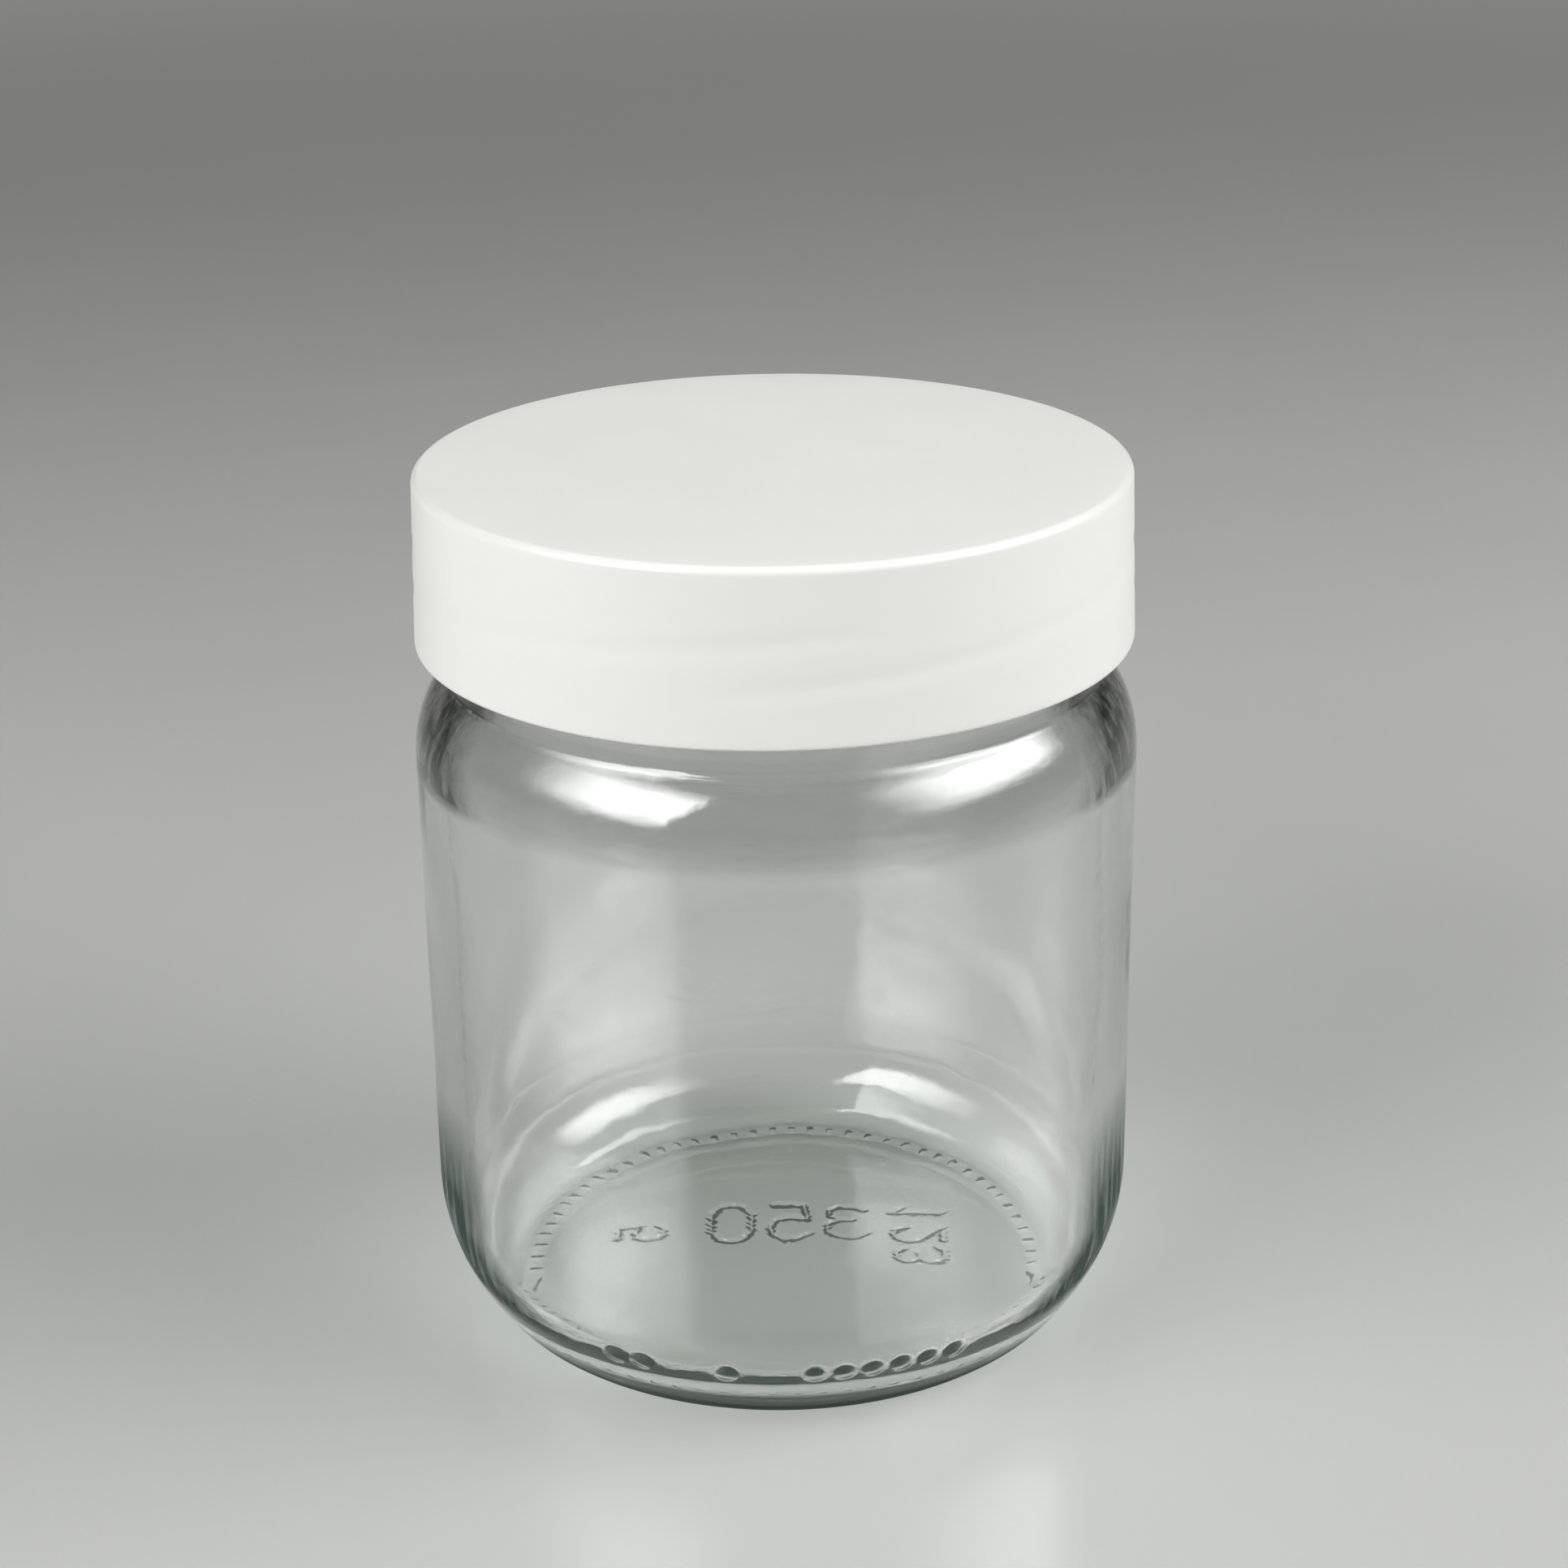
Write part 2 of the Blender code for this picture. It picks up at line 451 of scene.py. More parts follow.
@dataclass(frozen=True)
class HeelDots:
    """The row of domed mould dots on the heel.

    Attributes:
        slots: which places of the row hold a dot.
        pitch: angle between two places, in degrees.
        middle: angle of the row's middle.
        radius: radius of a dot's foot.
        rise: height of its dome.
        height: height of the row over the ground.
        out: radius of the heel there.
    """

    slots: tuple[int, ...] = (-6, -5, -2, 1, 2, 3, 4, 5, 6)
    pitch: float = 4.7
    middle: float = -90.0
    radius: float = 1.75
    rise: float = 0.4
    height: float = 8.5
    out: float = 39.33

    def __call__(self, place: np.ndarray) -> np.ndarray:
        """Each dot is rise * (1 - (d / radius)^2)^2, with d the distance to its centre.

        Args:
            place: places of the points, with X, Y and Z last.

        Returns:
            The height at each point.
        """
        angles = np.radians(self.middle + self.pitch * np.array(self.slots))
        across, along = self.out * np.cos(angles), self.out * np.sin(angles)
        centres = np.stack([across, along, np.full(len(angles), self.height)], 1)
        distance = np.linalg.norm(place[..., None, :] - centres, axis=-1).min(-1)
        return self.rise * np.clip(1 - (distance / self.radius) ** 2, 0, None) ** 2


@dataclass(frozen=True)
class Thread:
    """Short right-hand threads, evenly set round the axis, that rise as they go round.

    Attributes:
        rise: height of the crest over the wall, or less than zero for a dent.
        width: width of a thread at its foot.
        low: height of the crest line where a thread starts.
        high: height where it ends.
        phase: height that one of the crest lines would have at +X.
        starts: number of threads.
        lead: rise in one full turn.
        fade: angle over which a thread's ends run out, in degrees.
    """

    rise: float
    width: float
    low: float
    high: float
    phase: float
    starts: int = 4
    lead: float = 20.0
    fade: float = 14.0

    def __call__(self, place: np.ndarray) -> np.ndarray:
        """Height of the threads over the wall.

        The crest lines are z = phase + lead * (angle / 360) + k * lead / starts. Across a thread
        the height is rise * cos^2, and it eases to zero at both ends.

        Args:
            place: places of the points, with X, Y and Z last.

        Returns:
            The height at each point.
        """
        spacing = self.lead / self.starts
        line = self.phase + self.lead * azimuth_of(place) / 360
        above = (place[..., 2] - line + spacing / 2) % spacing - spacing / 2
        crest = place[..., 2] - above
        across = np.cos(np.pi * np.clip(above / self.width, -0.5, 0.5)) ** 2
        run = self.lead * self.fade / 360
        ends = smooth((crest - self.low) / run) * smooth((self.high - crest) / run)
        return self.rise * across * ends


@dataclass(frozen=True)
class BlownWaves:
    """Slow waves on a blown surface, where the glass set unevenly.

    They are three: two that stand, each a wave up the jar times a wave round it, and one aslant.

    Attributes:
        depth: size of the waves.
        length: height of the first wave along the axis.
        lobes: waves of the first round the axis.
        more_lobes: how many more the second has.
        sizes: how large each is beside the first.
        paces: how often each comes up the jar beside the first.
        phases: phases of the first up and round the jar, and of the second.
        still_r: radius up to which the surface lies still.
        growth: distance from there over which they grow to their full size.
    """

    depth: float
    length: float
    lobes: int
    more_lobes: int = 4
    sizes: tuple[float, float, float] = (1.0, 0.7, 0.5)
    paces: tuple[float, float, float] = (1.0, 1.63, 0.71)
    phases: tuple[float, float, float, float] = (1.3, 0.4, 2.1, 1.9)
    still_r: float = 20.0
    growth: float = 12.0

    def __call__(self, place: np.ndarray) -> np.ndarray:
        """The sum depth * (a sin z1 sin t1 + b sin z2 sin t2 + c sin(z3 + 2 t3)) / (a + b + c).

        Each z is the height times a pace and each t the angle times a count of lobes, plus a
        phase. The sum eases in with the radius.

        Args:
            place: places of the points, with X, Y and Z last.

        Returns:
            The height at each point.
        """
        turn = np.radians(azimuth_of(place))
        climb = 2 * np.pi * place[..., 2] / self.length
        first, second, third = (climb * pace for pace in self.paces)
        up_1, round_1, up_2, round_2 = self.phases
        first = np.sin(first + up_1) * np.sin(self.lobes * turn + round_1)
        second = np.sin(second + up_2) * np.sin((self.lobes + self.more_lobes) * turn + round_2)
        third = np.sin(third + 2 * self.lobes * turn)
        waves = sum(size * wave for size, wave in zip(self.sizes, (first, second, third)))
        grown = smooth((radius_of(place) - self.still_r) / self.growth)
        return self.depth * waves / sum(self.sizes) * grown


def all_of(*reliefs: Relief) -> Relief:
    """One relief that adds several."""
    return lambda place: sum(relief(place) for relief in reliefs)


def add_node(
    tree: Tree,
    kind: str,
    inputs: Mapping[str | int, object] | Sequence[object] = (),
    output: str | int = 0,
    **settings: object,
) -> Socket | None:
    """Adds a node with its settings, values and links.

    Args:
        tree: the node tree.
        kind: the node's type, after the ShaderNode that each type's name starts with.
        inputs: what goes into its sockets, by name or number or in their own order. It is a
            socket to link, or a value.
        output: name or number of the output that is handed on.
        settings: the node's own properties.

    Returns:
        That output, or None where the node has none.
    """
    node = tree.nodes.new(f"ShaderNode{kind}")
    for name, value in settings.items():
        setattr(node, name, value)
    for name, value in inputs.items() if isinstance(inputs, Mapping) else enumerate(inputs):
        if isinstance(value, bpy.types.NodeSocket):
            tree.links.new(value, node.inputs[name])
        else:
            node.inputs[name].default_value = value
    return node.outputs[output] if node.outputs else None


def new_material(name: str) -> tuple[bpy.types.Material, Tree]:
    """An empty node material and its tree.

    Args:
        name: the material's name.

    Returns:
        The material and its node tree.
    """
    made = bpy.data.materials.new(name)
    made.use_nodes = True
    made.node_tree.nodes.clear()
    return made, made.node_tree


def height_zone(tree: Tree, height: Socket, span: Sequence[float]) -> Socket:
    """A share that is 1 between two heights and falls evenly to 0 below and above them.

    Args:
        tree: the node tree.
        height: height over the ground.
        span: heights in millimetres where the share leaves 0, reaches 1, leaves 1 and is 0 again.

    Returns:
        The share.
    """
    low, full, fading, high = metres(*span)
    rising = add_node(tree, "MapRange", (height, low, full))
    falling = add_node(tree, "MapRange", (height, fading, high, 1.0, 0.0))
    return add_node(tree, "Math", (rising, falling), operation="MULTIPLY")


@dataclass(frozen=True)
class ContainerGlass:
    """Soda-lime container glass, blown in an iron mould, fire-finished and given its wax coat.

    It is clear. Its green shows where the eye's ray runs along its thickness, at the heel, the
    foot and the shoulder, and there painted shade darkens it in upright streaks: a dark tint,
    and at the heel and the foot a dark diffuse cover. The shoulder's crossing carries a painted
    grey shade as well. Its skin is bright, with the slow waves that the mould's chill leaves,
    and the coat makes its highlights softer.
    The shoulder and the inner heel, which set last, keep stronger ripples.

    Attributes:
        ior: its index of refraction.
        depth_tint: colour of its depth.
        tint_density: strength of that colour for each metre.
        wall_tint: tint of a crossing of the wall.
        shoulder_shade_tint: tint of a crossing of the shoulder, a painted grey shade.
        thick_green_and_shade_tint: tint where the ray runs along the glass: green and painted shade.
        green_painted_shade: colour of a dark diffuse cover there, painted shade in the glass's green.
        painted_shade_cover: how much that painted shade covers there.
        shadow: what one face leaves of a lamp's light.
        edge_shadow: the same where the face is edge on to the light.
        edge_facing: where that takes over, from facing the light (0) to edge on (1).
        gathering: what the foot leaves of the light, because it gathers it.
        gathering_top: heights up to which the foot gathers.
        gathering_r: radii from which it does.
        foot_span: heights where the foot's painted shade starts to go, and is gone.
        heel_span: heights where the heel's painted shade starts, is full, starts to fade and has faded.
        shoulder_span: heights between which the wall turns into the shoulder.
        rim_facing: where the painted shade sets in, from facing the eye (0) to edge on (1).
        shoulder_rim: how much earlier it sets in on the shoulder.
        coat: strength of the coat on the wall, and on the inner heel.
        coat_roughness: its roughness.
        well_span: heights where the inner heel starts, is full, fades and has ended.
        streak_grain: width of the streaks.
        streak_rise: share of its pace at which their noise runs up the jar, so that they are tall.
        streak_edges: where a streak starts and where it is full, on the noise.
        streaks: how strong the painted shade is beside a streak and in it.
        wave_grain: width of the slow waves.
        wave_height: their height.
        ripple_grain: height of the ripples from one to the next.
        ripple_turn: share of its pace at which their noise runs round the jar, so that they lie level.
        ripple_height: their height on the wall and where they are strongest.
        skin_grain: width of the skin's unevenness.
        skin_height: its height on the wall and where the ripples are strongest.
    """

    ior: float = 1.52
    depth_tint: str = "7FA596"
    tint_density: float = 14.0
    wall_tint: str = "FFFFFF"
    shoulder_shade_tint: str = "E1E2E0"
    thick_green_and_shade_tint: str = "121A18"
    green_painted_shade: str = "35443F"
    painted_shade_cover: float = 0.8
    shadow: str = "E2E4E2"
    edge_shadow: str = "5A625E"
    edge_facing: tuple[float, float] = (0.6, 1.0)
    gathering: str = "FFFFFF"
    gathering_top: tuple[float, float] = (4.0, 11.0)
    gathering_r: tuple[float, float] = (29.0, 31.0)
    foot_span: tuple[float, float] = (2.0, 4.0)
    heel_span: tuple[float, float, float, float] = (6.5, 8.5, 18.0, 30.0)
    shoulder_span: tuple[float, float] = (66.9, 68.4)
    rim_facing: tuple[float, float] = (0.56, 0.7)
    shoulder_rim: float = 0.12
    coat: tuple[float, float] = (0.5, 1.0)
    coat_roughness: float = 0.09
    well_span: tuple[float, float, float, float] = (3.4, 4.6, 11.0, 14.0)
    streak_grain: float = 1.5
    streak_rise: float = 0.16
    streak_edges: tuple[float, float] = (0.34, 0.54)
    streaks: tuple[float, float] = (0.6, 1.0)
    wave_grain: float = 9.0
    wave_height: float = 0.03
    ripple_grain: float = 2.2
    ripple_turn: float = 0.3
    ripple_height: tuple[float, float] = (0.006, 0.09)
    skin_grain: float = 1.8
    skin_height: tuple[float, float] = (0.002, 0.03)

    def surface_normal(self, tree: Tree, place: Socket, unsettled: Socket) -> Socket:
        """The normal with slow waves, level ripples and the skin's unevenness, one on the other.

        Args:
            tree: the material's node tree.
            place: the object's own coordinates.
            unsettled: 1 where the ripples and the skin are strongest, and 0 on the wall.

        Returns:
            The normal.
        """
        turning = (self.ripple_turn, self.ripple_turn, 1.0)
        level = add_node(tree, "VectorMath", (place, turning), operation="MULTIPLY")
        ripple, skin = (
            add_node(tree, "MapRange", (unsettled, 0.0, 1.0, *metres(*heights)))
            for heights in (self.ripple_height, self.skin_height)
        )
        normal = {}
        for vector, grain, detail, distance in (
            (place, self.wave_grain, PLAIN_DETAIL, self.wave_height * MM),
            (level, self.ripple_grain, PLAIN_DETAIL, ripple),
            (place, self.skin_grain, FINE_DETAIL, skin),
        ):
            lumps = {"Vector": vector, "Scale": 1 / (grain * MM), "Detail": detail}
            height = add_node(tree, "TexNoise", lumps)
            bump = add_node(tree, "Bump", {"Height": height, "Distance": distance, **normal})
            normal = {"Normal": bump}
        return bump

    def green_and_shade_share(
        self,
        tree: Tree,
        place: Socket,
        height: Socket,
        facing: Socket,
        shoulder: Socket,
        outer: Socket,
    ) -> Socket:
        """How much the eye's ray runs along the glass, at the rims of heel, foot and shoulder.

        Args:
            tree: the material's node tree.
            place: the object's own coordinates.
            height: height over the ground.
            facing: 0 where the surface faces the eye and 1 where it is seen edge on.
            shoulder: 1 on the shoulder and 0 on the wall.
            outer: 1 on the jar's outer side and 0 on its inner side.

        Returns:
            A share from 0 to 1 of the glass's green and painted shade, broken up by upright streaks on
            the heel and the shoulder.
        """
        heel = height_zone(tree, height, self.heel_span)
        foot = add_node(tree, "MapRange", (height, *metres(*self.foot_span), 1.0, 0.0))
        share = add_node(tree, "Math", (heel, shoulder), operation="MAXIMUM")
        tall = (1.0, 1.0, self.streak_rise)
        upright = add_node(tree, "VectorMath", (place, tall), operation="MULTIPLY")
        scale = 1 / (self.streak_grain * MM)
        grain = {"Vector": upright, "Scale": scale, "Detail": FINE_DETAIL}
        noise = add_node(tree, "TexNoise", grain)
        streaks = add_node(tree, "MapRange", (noise, *self.streak_edges, *self.streaks))
        edge_on = add_node(
            tree, "Math", (shoulder, self.shoulder_rim, facing), operation="MULTIPLY_ADD"
        )
        rim = add_node(tree, "MapRange", (edge_on, *self.rim_facing))
        for other, operation in (
            (streaks, "MULTIPLY"),
            (foot, "MAXIMUM"),
            (rim, "MULTIPLY"),
            (outer, "MULTIPLY"),
        ):
            share = add_node(tree, "Math", (share, other), operation=operation)
        return share

    def dimming(
        self, tree: Tree, place: Socket, height: Socket, facing: Socket, outer: Socket
    ) -> Socket:
        """What one face leaves of the lamps' light.

        It takes more where it is edge on, and nothing at the foot, which gathers the light.

        Args:
            tree: the material's node tree.
            place: the object's own coordinates.
            height: height over the ground.
            facing: 0 where the surface faces the light and 1 where it is edge on to it.
            outer: 1 on the jar's outer side and 0 on its inner side.

        Returns:
            The colour of the light that is left.
        """
        level = add_node(tree, "VectorMath", (place, (1.0, 1.0, 0.0)), operation="MULTIPLY")
        radius = add_node(tree, "VectorMath", (level,), "Value", operation="LENGTH")
        low = add_node(tree, "MapRange", (height, *metres(*self.gathering_top), 1.0, 0.0))
        wide = add_node(tree, "MapRange", (radius, *metres(*self.gathering_r)))
        foot = add_node(tree, "Math", (low, wide), operation="MULTIPLY")
        foot = add_node(tree, "Math", (foot, outer), operation="MULTIPLY")
        edge_on = add_node(tree, "MapRange", (facing, *self.edge_facing))
        left = linear(self.shadow)
        for share, other in ((edge_on, self.edge_shadow), (foot, self.gathering)):
            mix = {SHARE: share, COLOUR_A: left, COLOUR_B: linear(other)}
            left = add_node(tree, "Mix", mix, MIXED_COLOUR, data_type="RGBA")
        return left

    def material(self) -> bpy.types.Material:
        """Clear glass, green and with painted dark shade at its thick rims, that lets most of the lamps'
        light by.

        Returns:
            The material.
        """
        made, tree = new_material("soda_lime_glass")
        place = add_node(tree, "TexCoord", output="Object")
        facing = add_node(tree, "LayerWeight", output="Facing")
        outer = add_node(tree, "Attribute", output="Fac", attribute_name=OUTER_SKIN)
        inner = add_node(tree, "Math", (1.0, outer), operation="SUBTRACT")
        height = add_node(tree, "SeparateXYZ", (place,), "Z")
        shoulder = add_node(tree, "MapRange", (height, *metres(*self.shoulder_span)))
        below = add_node(tree, "Math", (1.0, shoulder), operation="SUBTRACT")
        well = height_zone(tree, height, self.well_span)
        well = add_node(tree, "Math", (well, inner), operation="MULTIPLY")
        unsettled = add_node(tree, "Math", (shoulder, well), operation="MAXIMUM")
        thick = self.green_and_shade_share(tree, place, height, facing, shoulder, outer)
        # Share of the dark diffuse cover: painted shade at the heel and foot rims, none on the shoulder
        dark = add_node(tree, "Math", (thick, below), operation="MULTIPLY")
        # Transmission tint: painted grey shade on the shoulder, and green with painted shade at the
        # thick rims
        tint = linear(self.wall_tint)
        for share, other in ((shoulder, self.shoulder_shade_tint), (thick, self.thick_green_and_shade_tint)):
            mix = {SHARE: share, COLOUR_A: tint, COLOUR_B: linear(other)}
            tint = add_node(tree, "Mix", mix, MIXED_COLOUR, data_type="RGBA")
        coat = add_node(tree, "MapRange", (well, 0.0, 1.0, *self.coat))
        glass = add_node(
            tree,
            "BsdfPrincipled",
            {
                "Base Color": tint,
                "Roughness": 0.0,
                "IOR": self.ior,
                # No coat where the shade is painted
                "Coat Weight": add_node(tree, "Mix", {SHARE: dark, VALUE_A: coat, VALUE_B: 0.0}),
                "Coat Roughness": self.coat_roughness,
                "Transmission Weight": 1.0,
                "Normal": self.surface_normal(tree, place, unsettled),
            },
        )
        # Dark diffuse cover in the glass's green: painted shade for the dark of thick glass
        depth = add_node(tree, "BsdfDiffuse", {"Color": linear(self.green_painted_shade)})
        cover = add_node(tree, "Math", (dark, self.painted_shade_cover), operation="MULTIPLY")
        seen = add_node(tree, "MixShader", (cover, glass, depth))
        dimmed = self.dimming(tree, place, height, facing, outer)
        through = add_node(tree, "BsdfTransparent", {"Color": dimmed})
        to_lamp = add_node(tree, "LightPath", output="Is Shadow Ray")
        surface = add_node(tree, "MixShader", (to_lamp, seen, through))
        inside = {"Color": linear(self.depth_tint), "Density": self.tint_density}
        body = add_node(tree, "VolumeAbsorption", inside)
        add_node(tree, "OutputMaterial", {"Surface": surface, "Volume": body})
        return made


@dataclass(frozen=True)
class MouldedPolypropylene:
    """White polypropylene, injection moulded in a polished tool.

    It is an even warm white with a soft half gloss, and light sinks a little way into it.

    Attributes:
        white: its colour.
        shade: the colour that it slowly changes to and back.
        roughness: its roughness where it is glossiest and where it is dullest.
        gloss_edges: where these two are reached, on the noise.
        ior: its index of refraction.
        tone_grain: width of the changes of tone. Those of gloss are half as wide.
        skin_grain: width of the skin's grain. The real one is finer, too fine to show.
        skin_height: its height.
        glow: how much light goes through the plastic instead of off it.
        glow_depth: how deep that light goes.
        glow_reach: how far red, green and blue go, as shares of that depth.
    """

    white: str = "E5E5E2"
    shade: str = "E1E1DE"
    roughness: tuple[float, float] = (0.29, 0.35)
    gloss_edges: tuple[float, float] = (0.3, 0.7)
    ior: float = 1.49
    tone_grain: float = 16.0
    skin_grain: float = 0.5
    skin_height: float = 0.001
    glow: float = 0.15
    glow_depth: float = 0.6
    glow_reach: tuple[float, float, float] = (1.0, 0.9, 0.8)

    def material(self) -> bpy.types.Material:
        """Half-gloss white plastic with slow changes of tone and a very fine skin.

        Returns:
            The material.
        """
        made, tree = new_material("moulded_polypropylene")
        place = add_node(tree, "TexCoord", output="Object")
        slow, quicker, fine = (
            add_node(tree, "TexNoise", {"Vector": place, "Scale": 1 / (grain * MM)})
            for grain in (self.tone_grain, self.tone_grain / 2, self.skin_grain)
        )
        tones = {SHARE: slow, COLOUR_A: linear(self.white), COLOUR_B: linear(self.shade)}
        skin = {"Height": fine, "Distance": self.skin_height * MM}
        plastic = add_node(
            tree,
            "BsdfPrincipled",
            {
                "Base Color": add_node(tree, "Mix", tones, MIXED_COLOUR, data_type="RGBA"),
                "Roughness": add_node(
                    tree, "MapRange", (quicker, *self.gloss_edges, *self.roughness)
                ),
                "IOR": self.ior,
                "Subsurface Weight": self.glow,
                "Subsurface Scale": self.glow_depth * MM,
                "Subsurface Radius": self.glow_reach,
                "Normal": add_node(tree, "Bump", skin),
            },
        )
        add_node(tree, "OutputMaterial", {"Surface": plastic})
        return made


@dataclass(frozen=True)
class FoamedPolyethylene:
    """Foamed polyethylene sheet, die cut.

    It is a dull white with the fine closed cells of the foam showing as a pebbled skin.

    Attributes:
        white: colour of a cell's middle.
        shade: colour between the cells, painted shade in the hollows between them.
        roughness: its roughness.
        cell: width of a cell.
        cell_height: how far a cell stands out.
    """

    white: str = "E2E2DE"
    shade: str = "D2D2CC"
    roughness: float = 0.65
    cell: float = 0.35
    cell_height: float = 0.03

    def material(self) -> bpy.types.Material:
        """Dull white foam with a pebbled skin of closed cells.

        Returns:
            The material.
        """
        made, tree = new_material("foamed_polyethylene")
        place = add_node(tree, "TexCoord", output="Object")
        cells = add_node(tree, "TexVoronoi", {"Vector": place, "Scale": 1 / (self.cell * MM)})
        # Darker towards the hollows between the cells: painted shade
        tones = {SHARE: cells, COLOUR_A: linear(self.white), COLOUR_B: linear(self.shade)}
        pebbles = {"Height": cells, "Distance": self.cell_height * MM}
        foam = add_node(
            tree,
            "BsdfPrincipled",
            {
                "Base Color": add_node(tree, "Mix", tones, MIXED_COLOUR, data_type="RGBA"),
                "Roughness": self.roughness,
                "Normal": add_node(tree, "Bump", pebbles, invert=True),
            },
        )
        add_node(tree, "OutputMaterial", {"Surface": foam})
        return made


@dataclass(frozen=True)
class TableTop:
    """A plain pale grey table top with a satin finish, which fades into the room far away.

    Attributes:
        pale: its colour.
        shade: the colour that it slowly changes to and back.
        roughness: its roughness.
        specular: strength of its reflections.
        tone_grain: width of the changes of tone.
        tone_detail: how many times finer changes are laid over them.
        fade: distances where it starts to fade, and has faded.
    """

    pale: str = "BCBDBB"
    shade: str = "B6B7B5"
    roughness: float = 0.2
    specular: float = 0.7
    tone_grain: float = 60.0
    tone_detail: float = 4.0
    fade: tuple[float, float] = (500.0, 1500.0)

    def material(self, horizon: tuple[float, float, float, float]) -> bpy.types.Material:
        """Pale satin that turns to the horizon's colour with distance.

        Args:
            horizon: linear colour of the room at the horizon.

        Returns:
            The material.
        """
        made, tree = new_material("pale_table_top")
        place = add_node(tree, "TexCoord", output="Object")
        scale = 1 / (self.tone_grain * MM)
        grain = {"Vector": place, "Scale": scale, "Detail": self.tone_detail}
        slow = add_node(tree, "TexNoise", grain)
        tones = {SHARE: slow, COLOUR_A: linear(self.pale), COLOUR_B: linear(self.shade)}
        finish = {
            "Base Color": add_node(tree, "Mix", tones, MIXED_COLOUR, data_type="RGBA"),
            "Roughness": self.roughness,
            "Specular IOR Level": self.specular,
        }
        satin = add_node(tree, "BsdfPrincipled", finish)
        room = add_node(tree, "Emission", {"Color": horizon})
        away = add_node(tree, "VectorMath", (place,), "Value", operation="LENGTH")
        fade = add_node(tree, "MapRange", (away, *metres(*self.fade)))
        surface = add_node(tree, "MixShader", (fade, satin, room))
        add_node(tree, "OutputMaterial", {"Surface": surface})
        return made


def piece(
    mesh: bpy.types.Mesh, finish: bpy.types.Material, body: Body, node: str
) -> bpy.types.Object:
    """Puts a mesh into the scene as a piece that stands for a CAD node.

    Args:
        mesh: the piece's mesh, in place.
        finish: its material.
        body: the body that it rides on.
        node: the CAD node that it replaces.

    Returns:
        The new object.
    """
    made = bpy.data.objects.new(mesh.name, mesh)
    mesh.materials.append(finish)
    bpy.context.scene.collection.objects.link(made)
    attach(made, body.value)
    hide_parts(node)
    triangles = sum(len(face.vertices) - 2 for face in mesh.polygons)
    log.info("%s: %d triangles, on body %s", made.name, triangles, body.value)
    return made


@dataclass(frozen=True)
class JarSizes:
    """Sizes of the glass jar, the same as in the part's source.

    Attributes:
        height: height of the lip's top.
        body_r: radius of the body.
        shoulder_radius: radius of the shoulder's arc.
        neck_r: radius of the neck.
        neck_height: height of the lip's top over the place where the shoulder's arc meets the neck.
        neck_fillet: radius of the fillet between them.
        heel_radius: radius of the heel's arc.
        foot_r: outer radius of the bearing ring's flat.
        foot_radius: radius of the arc between the flat and the heel.
        foot_width: width of the flat.
        foot_inner_radius: radius of the arc on the flat's inner side.
        pushup: height of the hollow underside's middle.
        wall: thickness of the wall.
        bore_r: radius of the neck's bore.
        bore_fillet: radius of the fillet between the bore and the inner shoulder.
        base: thickness of the base at its middle.
        inside_heel: radius of the inner heel's arc.
        lip: radius of the lip's two edges.
        bead_rise: how far the carrying bead stands out of the neck.
        bead_height: height of the bead along the neck.
        bead_below_rim: how far the bead's middle lies under the lip's top.
    """

    height: float = 96.8
    body_r: float = 40.6
    shoulder_radius: float = 13.4
    neck_r: float = 36.7
    neck_height: float = 19.5
    neck_fillet: float = 1.2
    heel_radius: float = 21.8
    foot_r: float = 32.1
    foot_radius: float = 4.0
    foot_width: float = 2.7
    foot_inner_radius: float = 4.0
    pushup: float = 1.2
    wall: float = 3.4
    bore_r: float = 33.7
    bore_fillet: float = 2.5
    base: float = 2.0
    inside_heel: float = 9.0
    lip: float = 1.0
    bead_rise: float = 1.2
    bead_height: float = 3.2
    bead_below_rim: float = 12.6


@dataclass(frozen=True)
class JarSteps:
    """How finely the jar's section is cut: the longest distance between two of its points.

    Attributes:
        ring: on the bearing ring, where the ticks are.
        foot: on the foot's arc.
        heel: on the heel's arc where it is plain.
        dots: on the heel's arc where its dots are.
        wall: up the outside of the wall.
        shoulder: on the shoulder's arc outside. A shoulder's fillet takes half its step.
        neck: up the neck, under its bead.
        bead: on the bead.
        thread: up the threaded neck and over the lip.
        bore: down the bore.
        inner_shoulder: on the shoulder's arc inside.
        inner_wall: down the inside of the wall.
        inner_heel: on the inner heel's arc.
        floor: along the floor.
    """

    ring: float = 0.3
    foot: float = 0.6
    heel: float = 0.9
    dots: float = 0.36
    wall: float = 5.5
    shoulder: float = 0.9
    neck: float = 1.6
    bead: float = 0.5
    thread: float = 0.4
    bore: float = 2.2
    inner_shoulder: float = 1.0
    inner_wall: float = 3.2
    inner_heel: float = 0.8
    floor: float = 2.5


